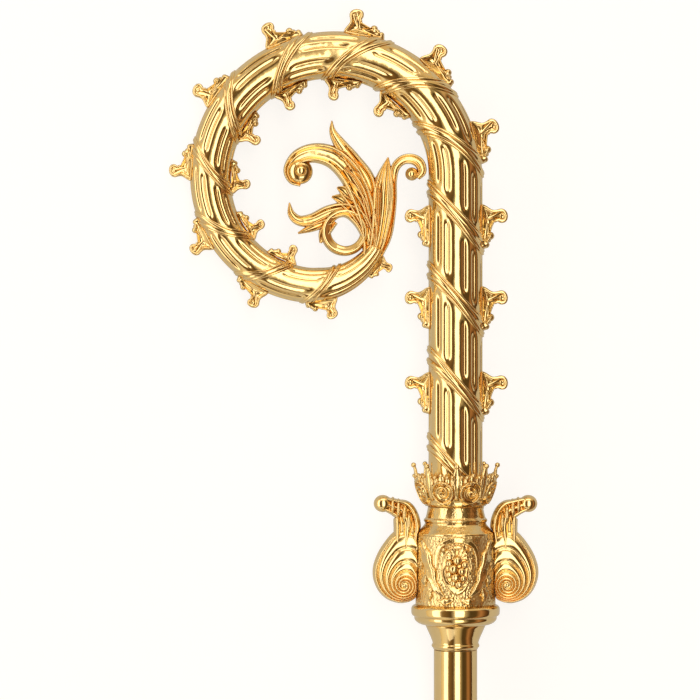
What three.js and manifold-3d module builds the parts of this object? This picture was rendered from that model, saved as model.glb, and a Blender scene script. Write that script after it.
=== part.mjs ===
// A bishop's crosier in gilt brass: reeded crook with leaf buds, a crown of
// palmettes, a knop with side scrolls, and a staff in screwed sections.
//
// Every piece is modelled in the staff's own axes, in millimetres: +Y runs up
// the staff, the crook curls towards -X, and +Z is the face that looks up when
// the crosier lies down. Y = 0 is the foot of the crown collar. The whole staff
// is then laid on the floor, where crown, crook and ferrule carry it.

import * as THREE from 'three';
import { mergeVertices } from 'three/addons/utils/BufferGeometryUtils.js';
import Module from 'manifold-3d';

const wasm = await Module();
wasm.setup();

// ---------------------------------------------------------------- dimensions

const TOTAL_LENGTH = 1800;
const CROOK_TOP_Y = 295;
const JOINT_GAP = 0.3;

// Crook rod: a straight stem, then arcs of falling radius.
const STEM_TOP_Y = 195.9;
const CROOK_ARCS = [
  { radius: 73.5, sweep: 180 },
  { radius: 65, sweep: 80 },
  { radius: 44, sweep: 71 },
];
const ROD_START = -1;
const ROD_RADIUS = 16.2;
const ROD_TAPER = 0.0171;
const ROD_TAPER_FROM = 196;
const TIP_TAPER = 0.1;
const TIP_TAPER_FROM = 530;
const REEDS = 12;
const REED_DEPTH = 0.1;
const BINDING_HALF_WIDTH = 7;
const BINDING_RISE = 0.08;
const BINDING_LEAN = 1.08;

// Leaf buds along the rod, by distance along its centre line.
const BASE_BINDING = 20;
const OUTER_BUDS = [72, 123, 172, 218, 259, 300, 341, 384, 423, 460.5, 497, 533, 566];
const INNER_BUDS = [72, 123, 172, 266, 310, 350, 393, 432, 470, 506];
const BUD_HEIGHT = 15.5;
const BUD_LENGTH = 27;
const BUD_SHRINK = 0.72;

// Crown collar.
const PALMETTES = 8;
const CROWN_FOOT_Y = -1;
const CROWN_BORE = 17.4;
const CROWN_FOOT_RADIUS = 18.1;
const CROWN_FLARE = 9;
const CROWN_HEIGHT = 26;

// Knop, turned.
const KNOP_TOP_Y = -1.3;
const KNOP_FOOT_Y = -71.8;
const DRUM_TOP_Y = -18;
const DRUM_FOOT_Y = -60;
const DRUM_TOP_RADIUS = 23.2;
const DRUM_FOOT_RADIUS = 24;
const CARTOUCHE_Y = -37;
const CARTOUCHE_HALF_WIDTH = 9.5;
const CARTOUCHE_HALF_HEIGHT = 14;

// Side scrolls of the knop.
const SCROLL_EYE = [30.7, -48.3];
const SCROLL_HALF_DEPTH = 8;
const SCROLL_RIDGES = 2;

// Staff.
const STAFF_RADIUS = 13;
const STAFF_TOP_Y = -87.3;
const FERRULE_LENGTH = 62;
const SCREW_COLLAR_LENGTH = 26;
const SCREW_COLLAR_RADIUS = 15.2;
const TURNED_SIDES = 20;

const GILT_BRASS = { color: 0xe0b04a, roughness: 0.16, metalness: 1 };
const SATIN_GILT_BRASS = { color: 0xd6a544, roughness: 0.34, metalness: 1 };

// ------------------------------------------------------------ solid geometry

const radians = THREE.MathUtils.degToRad;
const lerp = THREE.MathUtils.lerp;

/** Indexed geometry whose faces point out, whichever way they were wound. */
function closedGeometry(points, triangles) {
  const positions = points.flatMap((point) => [point.x, point.y, point.z]);
  const a = new THREE.Vector3();
  let volume = 0;
  for (const [i, j, k] of triangles) {
    volume += a.copy(points[i]).cross(points[j]).dot(points[k]);
  }
  const outward = volume > 0 ? triangles : triangles.map(([i, j, k]) => [i, k, j]);
  const geometry = new THREE.BufferGeometry();
  geometry.setAttribute('position', new THREE.Float32BufferAttribute(positions, 3));
  geometry.setIndex(outward.flat());
  return geometry;
}

/** Body skinned over a row of closed rings; its ends close on their centres, or on each other. */
function ringBody(rings, joined = false) {
  const sides = rings[0].length;
  const points = rings.flat();
  const triangles = [];
  const spans = joined ? rings.length : rings.length - 1;
  for (let row = 0; row < spans; row += 1) {
    const next = (row + 1) % rings.length;
    for (let side = 0; side < sides; side += 1) {
      const across = (side + 1) % sides;
      const corners = [row * sides + side, row * sides + across, next * sides + across, next * sides + side];
      triangles.push([corners[0], corners[1], corners[2]], [corners[0], corners[2], corners[3]]);
    }
  }
  if (!joined) {
    for (const row of [0, rings.length - 1]) {
      const centre = new THREE.Vector3();
      rings[row].forEach((point) => centre.addScaledVector(point, 1 / sides));
      points.push(centre);
      for (let side = 0; side < sides; side += 1) {
        const edge = [row * sides + side, row * sides + ((side + 1) % sides)];
        triangles.push(row === 0 ? [edge[1], edge[0], points.length - 1] : [...edge, points.length - 1]);
      }
    }
  }
  return closedGeometry(points, triangles);
}

/** A closed geometry as a solid that can be joined and cut. */
function toSolid(geometry) {
  const bare = geometry.clone();
  bare.deleteAttribute('normal');
  bare.deleteAttribute('uv');
  const merged = mergeVertices(bare, 1e-4);
  const mesh = new wasm.Mesh({
    numProp: 3,
    vertProperties: new Float32Array(merged.attributes.position.array),
    triVerts: new Uint32Array(merged.index.array),
  });
  return new wasm.Manifold(mesh);
}

function toGeometry(solid) {
  const mesh = solid.getMesh();
  const geometry = new THREE.BufferGeometry();
  geometry.setAttribute('position', new THREE.Float32BufferAttribute(mesh.vertProperties, 3));
  geometry.setIndex(Array.from(mesh.triVerts));
  return geometry;
}

/** Joins closed geometries into one body. */
function fuse(geometries) {
  return geometries.map(toSolid).reduce((whole, part) => whole.add(part));
}

/** Body turned about the staff's axis from [radius, y] pairs that run down the outside. */
function turned(profile) {
  const outline = profile.map(([radius, y]) => new THREE.Vector2(radius, y)).reverse();
  outline.unshift(new THREE.Vector2(0, outline[0].y));
  outline.push(new THREE.Vector2(0, outline.at(-1).y));
  return new THREE.LatheGeometry(outline, TURNED_SIDES);
}

function ball(x, y, z, radius, sides = 6) {
  return new THREE.SphereGeometry(radius, sides, sides / 2 + 1).translate(x, y, z);
}

// ----------------------------------------------------------------- crook rod

/** Place and outward direction on the rod's centre line, which runs straight on past its end. */
function crookFrame(distance) {
  const outward = new THREE.Vector3(1, 0, 0);
  const place = new THREE.Vector3(0, Math.min(distance, STEM_TOP_Y), 0);
  let left = distance - STEM_TOP_Y;
  for (const { radius, sweep } of CROOK_ARCS) {
    if (left <= 0) break;
    const angle = Math.min(left / radius, radians(sweep));
    place.addScaledVector(outward, -radius);
    outward.applyAxisAngle(new THREE.Vector3(0, 0, 1), angle);
    place.addScaledVector(outward, radius);
    left -= radius * angle;
  }
  place.addScaledVector(new THREE.Vector3(-outward.y, outward.x, 0), Math.max(0, left));
  return { place, outward };
}

const ROD_END = STEM_TOP_Y
  + CROOK_ARCS.reduce((sum, { radius, sweep }) => sum + radius * radians(sweep), 0);

function rodRadius(distance) {
  return ROD_RADIUS
    - ROD_TAPER * Math.max(0, distance - ROD_TAPER_FROM)
    - TIP_TAPER * Math.max(0, distance - TIP_TAPER_FROM);
}

/** Radius of the curve that the rod's centre line follows at a distance along it. */
function bendRadius(distance) {
  let start = STEM_TOP_Y;
  if (distance <= start) return Infinity;
  for (const { radius, sweep } of CROOK_ARCS) {
    start += radius * radians(sweep);
    if (distance <= start) return radius;
  }
  return CROOK_ARCS.at(-1).radius;
}

/** How far a slanting row of the rod runs back on its outer side, and ahead on its inner side. */
function rowLean(row) {
  const room = 0.85 * Math.min(row - ROD_START, ROD_END - row);
  return Math.min(BINDING_LEAN * rodRadius(row), Math.max(0, room));
}

const BINDINGS = [BASE_BINDING, ...OUTER_BUDS.slice(0, -1)];

function bindingHalfWidth(station) {
  return BINDING_HALF_WIDTH * (rodRadius(station) / ROD_RADIUS);
}

/** Share of the bindings' full height at a row of the rod. */
function bindingShare(row) {
  const shares = BINDINGS.map((station) => 1 - Math.abs(row - station) / bindingHalfWidth(station));
  return Math.max(0, ...shares);
}

/** One closed ring round the rod: turn 0 is the outer side, a quarter turn the front. */
function rodRing(row, gap) {
  const sides = 2 * REEDS;
  const binding = bindingShare(row);
  return Array.from({ length: sides }, (_, side) => {
    const turn = (2 * Math.PI * side) / sides;
    const distance = row - rowLean(row) * Math.cos(turn);
    const valley = side % 2 ? REED_DEPTH * (1 - binding) : 0;
    const radius = rodRadius(distance) * (1 + BINDING_RISE * binding - valley) + gap;
    const { place, outward } = crookFrame(distance);
    const point = place.addScaledVector(outward, radius * Math.cos(turn));
    point.z = radius * Math.sin(turn);
    return point;
  });
}

/** Reeded rod whose rows follow the slanting bindings, grown all round by a gap. */
function crookRod(gap = 0) {
  const rows = [ROD_START];
  BINDINGS.forEach((station, index) => {
    const half = bindingHalfWidth(station);
    rows.push(station - half, station, station + half);
    const next = BINDINGS[index + 1] ?? ROD_END;
    if (next > STEM_TOP_Y) rows.push((station + next) / 2);
  });
  rows.push(ROD_END);
  return ringBody(rows.map((row) => rodRing(row, gap)));
}

const rodClearance = toSolid(crookRod(JOINT_GAP));

// ----------------------------------------------------------------- leaf buds

// Side outline of a bud: height off the rod and distance back from its top
// corner, both as shares of the bud's height and length. Its tip is at 0.28.
const BUD_OUTLINE = [
  [0.00, 0.00], [0.42, 0.07], [0.70, 0.09], [0.90, 0.15], [1.00, 0.25], [0.94, 0.36], [0.75, 0.37],
  [0.50, 0.42], [0.40, 0.62], [0.44, 0.72], [0.20, 0.84], [0.22, 0.95], [0.00, 1.00],
];
const BUD_TIP_BACK = 0.28;
const TIP_FROM = 2;
const TIP_TO = 6;

/** Leaf bud with a curled tip and a beaded tail, bent along the rod and cut to fit it. */
function bud(station, side, scale) {
  const height = BUD_HEIGHT * scale;
  const length = BUD_LENGTH * scale;
  const halfWidth = (share) => lerp(0.36, 0.15, Math.sqrt(share)) * height;
  const bend = bendRadius(station);
  const stretch = bend === Infinity ? 1 : bend / (bend + side * rodRadius(station));
  const points = [];
  const add = (share, back, across) => {
    const distance = station + (BUD_TIP_BACK - back) * length * stretch;
    const { place, outward } = crookFrame(distance);
    const radial = rodRadius(distance) * (share === 0 ? 0.75 : 1) + share * height;
    const point = place.addScaledVector(outward, side * radial);
    point.z = across;
    return points.push(point) - 1;
  };
  const [front, rear] = [1, -1].map((face) => (
    BUD_OUTLINE.map(([share, back]) => add(share, back, face * halfWidth(share)))
  ));
  // Each side is hollowed: two hubs inside its rim are set deeper.
  const hubs = [1, -1].map((face) => [
    add(0.26, 0.3, face * halfWidth(0.26) * 0.3),
    add(0.84, 0.26, face * halfWidth(0.84) * 1.15),
  ]);
  const triangles = [];
  BUD_OUTLINE.forEach((_, i) => {
    const j = (i + 1) % BUD_OUTLINE.length;
    const hub = i >= TIP_FROM && i < TIP_TO ? 1 : 0;
    triangles.push([front[j], front[i], rear[i]], [front[j], rear[i], rear[j]]);
    triangles.push([front[i], front[j], hubs[0][hub]], [rear[j], rear[i], hubs[1][hub]]);
  });
  triangles.push([front[TIP_FROM], hubs[0][1], hubs[0][0]], [front[TIP_TO], hubs[0][0], hubs[0][1]]);
  triangles.push([rear[TIP_FROM], hubs[1][0], hubs[1][1]], [rear[TIP_TO], hubs[1][1], hubs[1][0]]);
  return toGeometry(toSolid(closedGeometry(points, triangles)).subtract(rodClearance));
}

// ---------------------------------------------------------- terminal foliage

const LEAF_SECTION = [[1, 0], [0.6, 1], [0, 0.5], [-0.6, 1], [-1, 0], [0, -1]];

/** Leaf blade, channelled in front and ridged behind, over [x, y, width, depth] stations in the crook's plane. */
function leafBlade(stations) {
  const route = new THREE.CatmullRomCurve3(stations.map(([x, y]) => new THREE.Vector3(x, y, 0)));
  return ringBody(stations.map(([x, y, width, depth], index) => {
    const along = route.getTangent(index / (stations.length - 1));
    return LEAF_SECTION.map(([across, up]) => new THREE.Vector3(
      x - (along.y * across * width) / 2,
      y + (along.x * across * width) / 2,
      (up * depth) / 2,
    ));
  }));
}

const FOLIAGE_LEAVES = [
  // Great leaf with its scrolled end.
  [
    [-50, 152, 8, 11], [-51.5, 168, 12, 13], [-56.5, 184.5, 15, 13], [-63.5, 198, 16, 12], [-73, 206.5, 15, 10],
    [-84, 209, 12.5, 9], [-94, 206.6, 10, 9], [-99.2, 200.5, 7.4, 8], [-97.6, 194.8, 6, 7], [-91.5, 193, 4.5, 6],
  ],
  // Horn above the great leaf.
  [
    [-50, 180, 7, 9], [-53.5, 194, 11, 10], [-61.5, 205.5, 10, 9], [-69, 216, 8, 7], [-73.6, 223.3, 4.5, 5],
    [-74, 230.2, 0.6, 1.2],
  ],
  // Upright leaf and its inner rib.
  [[-46, 154, 7, 10], [-42.5, 171, 10, 11], [-41.3, 190, 10, 10], [-40.6, 200, 7, 8], [-39.4, 208.4, 0.8, 2]],
  [[-48.5, 156, 6, 10], [-48.2, 176, 8, 11], [-49, 194, 7, 9], [-47.5, 199.5, 3, 6]],
  // Bracket: rim of the upright leaf, sprung over to the stem and curled under.
  [
    [-42, 154, 5, 8], [-39.3, 162, 5, 9], [-37.2, 181, 4.5, 9], [-37.3, 194, 4.5, 8], [-36, 202, 5, 8],
    [-31.8, 206.6, 5, 8], [-26.5, 206.9, 5.5, 8], [-22, 204.4, 5.5, 8], [-20.3, 199.6, 4.5, 7], [-23, 196, 3, 6],
  ],
  // Shell fan between the great leaf and the lower one.
  [[-53, 167, 6, 11], [-58, 181, 8, 10], [-66.3, 191.5, 3.5, 5]],
  [[-54, 165, 6, 11], [-62, 178.5, 8, 10], [-71.8, 184, 3, 5]],
  // Lower leaf with its hooked end, and its two lobes.
  [
    [-50.5, 152, 8, 11], [-53, 162.5, 9, 11], [-58.5, 172, 10, 10], [-66.3, 176.6, 9, 9], [-76, 174.8, 9, 9],
    [-85.8, 170.5, 7.5, 8], [-93.6, 170, 6, 7], [-98.4, 174, 4.5, 6], [-99.5, 181, 0.8, 1.5],
  ],
  [[-76, 170.5, 7, 8], [-85.8, 166.2, 5, 6], [-94.7, 163, 1, 2]],
  [[-73.5, 169, 6, 8], [-78.6, 162.8, 6.5, 6], [-81.3, 156.6, 1.2, 2]],
];
const RING_CENTRE = [-66.3, 163];
const RING_RADIUS = 11.4;
const RING_WIDTH = 5.2;
const RING_DEPTH = 8;
const FOLIAGE_BALLS = [[-91.8, 199.6, 6], [-25.8, 197.6, 3.6]];

/** Closed ring that stands round an opening in the foliage. */
function foliageRing() {
  const steps = 16;
  const rings = Array.from({ length: steps }, (_, step) => {
    const turn = (2 * Math.PI * step) / steps;
    return [[-0.5, 0], [0, 0.5], [0.5, 0], [0, -0.5]].map(([out, up]) => {
      const radius = RING_RADIUS + out * RING_WIDTH;
      return new THREE.Vector3(
        RING_CENTRE[0] + radius * Math.cos(turn),
        RING_CENTRE[1] + radius * Math.sin(turn),
        up * RING_DEPTH,
      );
    });
  });
  return ringBody(rings, true);
}

function terminalFoliage() {
  const leaves = FOLIAGE_LEAVES.map(leafBlade);
  const balls = FOLIAGE_BALLS.map(([x, y, radius]) => ball(x, y, 0, radius));
  const whole = fuse([...leaves, foliageRing(), ...balls]);
  return toGeometry(whole.subtract(rodClearance));
}

// -------------------------------------------------------------- crown collar

function crownRadius(height) {
  return CROWN_FOOT_RADIUS + CROWN_FLARE * (Math.max(0, height) / CROWN_HEIGHT) ** 0.75;
}

// Across one palmette, from the middle of the spike on its left: top edge
// height, and how far the medallion swells there.
const PALMETTE_COLUMNS = [
  { top: 26.5, swell: -0.3 }, { top: 16, swell: 0 }, { top: 18.5, swell: 0.8 },
  { top: 20, swell: 1 }, { top: 18.5, swell: 0.8 }, { top: 16, swell: 0 },
];
const CROWN_SWELL = 1.9;
const CROWN_WALL = 1.7;
const MEDALLION_HEIGHT = 8.6;

/** Ring of palmettes, one closed wall whose top edge rises to spikes between them. */
function crownCollar() {
  const columns = PALMETTES * PALMETTE_COLUMNS.length;
  const rings = Array.from({ length: columns }, (_, column) => {
    const { top, swell } = PALMETTE_COLUMNS[column % PALMETTE_COLUMNS.length];
    const turn = (2 * Math.PI * column) / columns;
    const wall = [[0, 0], [2, 0], [MEDALLION_HEIGHT, 1], [top, 0]].map(([height, bulge]) => (
      [crownRadius(height) + CROWN_SWELL * bulge * swell, height]
    ));
    wall.push([crownRadius(top) - CROWN_WALL, top], [crownRadius(9) - CROWN_WALL, 9], [CROWN_BORE, 0]);
    return wall.map(([radius, height]) => new THREE.Vector3(
      radius * Math.sin(turn),
      CROWN_FOOT_Y + height,
      radius * Math.cos(turn),
    ));
  });
  return ringBody(rings, true);
}

// ---------------------------------------------------------------------- knop

/** Turned knop with a relief cartouche on its front and its back. */
function knop() {
  const body = turned([
    [16.6, KNOP_TOP_Y], [16.8, -8.6], [18.6, -9.6], [18.9, -11], [19.4, -12.4], [22, -16.6],
    [DRUM_TOP_RADIUS, DRUM_TOP_Y], [DRUM_FOOT_RADIUS, DRUM_FOOT_Y], [25.6, -61], [26.6, -62.6],
    [26.6, -65.4], [25.9, -66.8], [24.4, -69.6], [20.9, KNOP_FOOT_Y],
  ]);
  return toGeometry(fuse([body, shield(1), shield(-1), ...grapes()]));
}

/** Point on the drum's front (face 1) or back (face -1), x measured round it. */
function onDrum(face, x, y, rise) {
  const radius = lerp(DRUM_TOP_RADIUS, DRUM_FOOT_RADIUS, 0.5) + rise;
  const turn = (2 * x) / (DRUM_TOP_RADIUS + DRUM_FOOT_RADIUS);
  return new THREE.Vector3(radius * Math.sin(turn), y, face * radius * Math.cos(turn));
}

/** Oval shield with a raised rim, pointed below. */
function shield(face) {
  const sides = 12;
  return ringBody([[1, -2], [1, 1], [0.8, 0.5]].map(([share, rise]) => (
    Array.from({ length: sides }, (_, side) => {
      const turn = (2 * Math.PI * side) / sides;
      const point = 1 + 0.12 * Math.max(0, -Math.sin(turn)) ** 3;
      const x = CARTOUCHE_HALF_WIDTH * share * Math.cos(turn);
      return onDrum(face, x, CARTOUCHE_Y + CARTOUCHE_HALF_HEIGHT * share * point * Math.sin(turn), rise);
    })
  )));
}

/** Bunch of grapes on the front shield. */
function grapes() {
  return [3, 2, 1].flatMap((count, row) => (
    Array.from({ length: count }, (_, index) => {
      const seat = onDrum(1, (index - (count - 1) / 2) * 4.8, CARTOUCHE_Y + 4 - row * 5, 0.4);
      return new THREE.IcosahedronGeometry(3, 0).translate(seat.x, seat.y, seat.z);
    })
  ));
}

// -------------------------------------------------------------- side scrolls

// Outer contour of the scroll as [angle about the eye, distance], and the
// drum's side that cuts it off.
const SCROLL_CONTOUR = [
  [-190, 8.5], [-127, 10.6], [-94, 10.9], [-57, 12.3], [-27, 14.7], [0, 17.5], [22, 20.6], [45, 23.8],
  [65, 27.9], [77, 32], [84, 34], [95, 34], [104, 33], [112, 30], [125, 22], [150, 12], [180, 8.5],
];

/** Distance from the eye to the scroll's contour in a direction. */
function scrollReach(angle) {
  const after = SCROLL_CONTOUR.findIndex(([corner]) => corner >= angle);
  const [fromAngle, fromReach] = SCROLL_CONTOUR[Math.max(after - 1, 0)];
  const [toAngle, toReach] = SCROLL_CONTOUR[Math.max(after, 1)];
  return lerp(fromReach, toReach, (angle - fromAngle) / (toAngle - fromAngle));
}

/** Scroll on the knop's +X side, ridged round its eye, with a knob on a curled neck. */
function sideScroll() {
  const sides = 16;
  const shares = [1];
  for (let ridge = 0; ridge < SCROLL_RIDGES; ridge += 1) {
    const outer = lerp(0.96, 0.3, ridge / SCROLL_RIDGES);
    const inner = lerp(0.96, 0.3, (ridge + 1) / SCROLL_RIDGES);
    shares.push(lerp(outer, inner, 0.45), inner);
  }
  const depth = (index) => SCROLL_HALF_DEPTH * [0.62, 1, 0.78][index === 0 ? 0 : 2 - (index % 2)];
  const layers = [
    ...shares.map((share, index) => [share, depth(index)]).reverse(),
    ...shares.map((share, index) => [share, -depth(index)]),
  ];
  const rings = layers.map(([share, z]) => Array.from({ length: sides }, (_, side) => {
    const angle = -180 + (360 * side) / sides;
    const reach = scrollReach(angle) * share;
    return new THREE.Vector3(
      SCROLL_EYE[0] + reach * Math.cos(radians(angle)),
      SCROLL_EYE[1] + reach * Math.sin(radians(angle)),
      z,
    );
  }));
  const neck = leafBlade([
    [30, -26, 17, 14], [28.6, -13.5, 17, 14], [30.8, -5, 15, 12.5], [35.5, -2.2, 11, 11], [42.5, 0.2, 9, 9.5],
  ]);
  return fuse([ringBody(rings), neck, ball(43.2, 0.2, 0, 5.4)]);
}

/** What a side scroll has to keep clear of: the knop, a joint gap larger all round. */
function knopClearance() {
  const gap = JOINT_GAP;
  return toSolid(turned([
    [16.6 + gap, 6], [16.8 + gap, -8], [19.4 + gap, -12.2], [22.2 + gap, -16.2],
    [DRUM_TOP_RADIUS + gap, DRUM_TOP_Y + gap], [DRUM_FOOT_RADIUS + gap, DRUM_FOOT_Y + gap],
    [27.2, -60.4], [27.2, -70],
  ]));
}

// --------------------------------------------------------------------- staff

const FOOT_Y = CROOK_TOP_Y - TOTAL_LENGTH;
const FERRULE_TOP_Y = FOOT_Y + FERRULE_LENGTH;
const SECTION_LENGTH = (STAFF_TOP_Y - FERRULE_TOP_Y) / 3;

function socketCone() {
  return turned([
    [18.3, KNOP_FOOT_Y - JOINT_GAP], [16.4, -76.4], [13.7, -83.3], [14.3, -84.4], [14.3, -85.3],
    [13.3, STAFF_TOP_Y + JOINT_GAP],
  ]);
}

function staffSection(top, foot) {
  return turned([[STAFF_RADIUS, top], [STAFF_RADIUS, foot]]);
}

function screwCollar(middle) {
  const half = SCREW_COLLAR_LENGTH / 2;
  const outer = SCREW_COLLAR_RADIUS;
  return turned([
    [STAFF_RADIUS + 0.3, middle + half], [outer, middle + half - 2], [outer - 1.1, middle + half - 5],
    [outer - 1.1, middle - half + 5], [outer, middle - half + 2], [STAFF_RADIUS + 0.3, middle - half],
  ]);
}

function footFerrule() {
  return turned([
    [14, FERRULE_TOP_Y], [15, FERRULE_TOP_Y - 3], [14, FERRULE_TOP_Y - 6],
    [14, FOOT_Y + 14], [15.2, FOOT_Y + 10], [14.6, FOOT_Y + 4], [11, FOOT_Y],
  ]);
}

// ------------------------------------------------------------------ assembly

const staff = new THREE.Group();

function addPiece(name, geometry, finish = GILT_BRASS) {
  const mesh = new THREE.Mesh(geometry, new THREE.MeshStandardMaterial(finish));
  mesh.name = name;
  staff.add(mesh);
  return mesh;
}

function addBuds() {
  const rodShare = (station) => rodRadius(station) / ROD_RADIUS;
  OUTER_BUDS.forEach((station, index) => {
    const scale = lerp(BUD_SHRINK, 1, (rodShare(station) - 0.6) / 0.4);
    addPiece(`outer_leaf_bud_${index + 1}`, bud(station, 1, scale));
  });
  INNER_BUDS.forEach((station, index) => {
    const scale = lerp(BUD_SHRINK, 1, (rodShare(station) - 0.6) / 0.4) * 0.94;
    addPiece(`inner_leaf_bud_${index + 1}`, bud(station, -1, scale));
  });
}

function addSideScrolls() {
  const right = sideScroll().subtract(knopClearance());
  const left = right.mirror([1, 0, 0]);
  addPiece('right_side_scroll', toGeometry(right));
  addPiece('left_side_scroll', toGeometry(left));
}

function addStaff() {
  const gap = JOINT_GAP;
  const half = SCREW_COLLAR_LENGTH / 2;
  addPiece('socket_cone', socketCone());
  let top = STAFF_TOP_Y;
  for (const section of [1, 2, 3]) {
    const joint = STAFF_TOP_Y - section * SECTION_LENGTH;
    const foot = section < 3 ? joint + half + gap : FERRULE_TOP_Y + gap;
    addPiece(`staff_section_${section}`, staffSection(top, foot));
    if (section < 3) {
      addPiece(`screw_collar_${section}`, screwCollar(joint));
      top = joint - half - gap;
    }
  }
  addPiece('foot_ferrule', footFerrule());
}

addPiece('crook_rod', crookRod());
addBuds();
addPiece('terminal_foliage', terminalFoliage());
addPiece('crown_collar', crownCollar(), SATIN_GILT_BRASS);
addPiece('knop', knop(), SATIN_GILT_BRASS);
addSideScrolls();
addStaff();

// ---------------------------------------------------------- laid on the floor

/** Lowest corner of the laid staff among the corners that a test picks out. */
function lowestCorner(picks) {
  const corner = new THREE.Vector3();
  const lowest = new THREE.Vector3(0, 0, Infinity);
  staff.traverse((mesh) => {
    if (!mesh.isMesh) return;
    const places = mesh.geometry.attributes.position;
    for (let index = 0; index < places.count; index += 1) {
      corner.fromBufferAttribute(places, index);
      if (!picks(corner)) continue;
      corner.applyMatrix4(staff.matrixWorld);
      if (corner.z < lowest.z) lowest.copy(corner);
    }
  });
  return lowest;
}

/** Turns the staff until crown, crook and ferrule touch one level floor. */
function layDown() {
  for (let pass = 0; pass < 6; pass += 1) {
    staff.updateMatrixWorld(true);
    const crown = lowestCorner(({ x, y }) => Math.abs(x) < 40 && Math.abs(y) < 80);
    const crook = lowestCorner(({ x }) => x < -100);
    const foot = lowestCorner(({ y }) => y < FERRULE_TOP_Y);
    const normal = crown.clone().sub(foot).cross(crook.clone().sub(foot)).normalize();
    const level = new THREE.Quaternion().setFromUnitVectors(normal, new THREE.Vector3(0, 0, 1));
    staff.quaternion.premultiply(level);
  }
  staff.updateMatrixWorld(true);
}

layDown();
const box = new THREE.Box3().setFromObject(staff, true);
const middle = box.getCenter(new THREE.Vector3());
staff.position.set(-middle.x, -middle.y, -box.min.z);

const crosier = new THREE.Group();
crosier.add(staff);

export default crosier;
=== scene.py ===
"""Looks of a bishop's crosier in gilt brass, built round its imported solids.

Shapes are worked out in millimetres in the staff's own axes: +Y runs up the
staff from the foot of the crown, the crook curls towards -X, and +Z is the face
that looks up when the crosier lies down. One matrix, read off the solids, then
lays every piece where its solid is.
"""

import logging
import math
from dataclasses import dataclass, field
from enum import Enum
from typing import Iterable, Sequence

import bpy
import numpy as np
from mathutils import Matrix, Quaternion, Vector


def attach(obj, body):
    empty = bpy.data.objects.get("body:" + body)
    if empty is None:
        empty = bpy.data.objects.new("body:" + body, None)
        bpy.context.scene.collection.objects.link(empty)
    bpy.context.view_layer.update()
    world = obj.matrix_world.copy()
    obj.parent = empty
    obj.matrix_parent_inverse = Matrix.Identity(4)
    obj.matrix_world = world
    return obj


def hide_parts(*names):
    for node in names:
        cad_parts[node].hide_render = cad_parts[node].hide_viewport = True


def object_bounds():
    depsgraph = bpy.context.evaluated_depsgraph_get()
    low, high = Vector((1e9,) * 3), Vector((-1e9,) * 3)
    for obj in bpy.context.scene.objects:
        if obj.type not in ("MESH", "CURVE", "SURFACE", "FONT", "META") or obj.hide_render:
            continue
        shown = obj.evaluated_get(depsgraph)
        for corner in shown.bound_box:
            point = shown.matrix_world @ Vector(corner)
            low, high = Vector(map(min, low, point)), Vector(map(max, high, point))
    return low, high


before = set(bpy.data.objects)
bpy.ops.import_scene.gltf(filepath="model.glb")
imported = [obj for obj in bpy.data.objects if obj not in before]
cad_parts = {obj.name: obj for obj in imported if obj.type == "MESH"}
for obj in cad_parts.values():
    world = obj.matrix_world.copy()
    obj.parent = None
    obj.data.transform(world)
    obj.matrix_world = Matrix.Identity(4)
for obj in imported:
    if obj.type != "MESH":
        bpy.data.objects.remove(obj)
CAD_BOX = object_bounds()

MM = 0.001
log = logging.getLogger("crosier")


# --------------------------------------------------------------------- helpers


def linear(hex_colour: str) -> tuple[float, float, float, float]:
    """Turn an sRGB colour to linear light.

    Args:
        hex_colour: six hex digits after a hash.

    Returns:
        Linear red, green and blue, and an alpha of one.
    """
    values = [int(hex_colour[i:i + 2], 16) / 255 for i in (1, 3, 5)]
    parts = [v / 12.92 if v <= 0.04045 else ((v + 0.055) / 1.055) ** 2.4 for v in values]
    return (*parts, 1.0)


def add_node(
    tree: bpy.types.NodeTree,
    kind: str,
    settings: dict[str | int, object] | None = None,
    links: dict[str | int, bpy.types.NodeSocket] | None = None,
) -> bpy.types.Node:
    """Add a node with its settings and links.

    Args:
        tree: node tree that gets the node.
        kind: the node's type name.
        settings: properties by name, or input values by name or index.
        links: output sockets by the name or index of the input they feed.

    Returns:
        The new node.
    """
    node = tree.nodes.new(kind)
    for key, value in (settings or {}).items():
        if isinstance(key, str) and hasattr(node, key):
            setattr(node, key, value)
        else:
            node.inputs[key].default_value = value
    for key, source in (links or {}).items():
        tree.links.new(source, node.inputs[key])
    return node


def smooth_step(value: np.ndarray, low: float, high: float) -> np.ndarray:
    """Ease from 0 at low to 1 at high."""
    share = np.clip((value - low) / (high - low), 0, 1)
    return share * share * (3 - 2 * share)


def smooth_row(points: Sequence[Sequence[float]], count: int) -> np.ndarray:
    """Run a smooth curve through a row of points.

    Args:
        points: the points, with any number of values each.
        count: how many points the finer row gets.

    Returns:
        The finer row, one line a point.
    """
    known = np.array(points, float)
    before, after = 2 * known[:1] - known[1:2], 2 * known[-1:] - known[-2:-1]
    padded = np.vstack([before, known, after])
    places = np.linspace(0, len(known) - 1, count)
    index = np.minimum(places.astype(int), len(known) - 2)
    t = (places - index)[:, None]
    a, b, c, d = (padded[index + shift] for shift in range(4))
    return 0.5 * (
        2 * b + (c - a) * t + (2 * a - 5 * b + 4 * c - d) * t**2 + (3 * b - a - 3 * c + d) * t**3
    )


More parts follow.
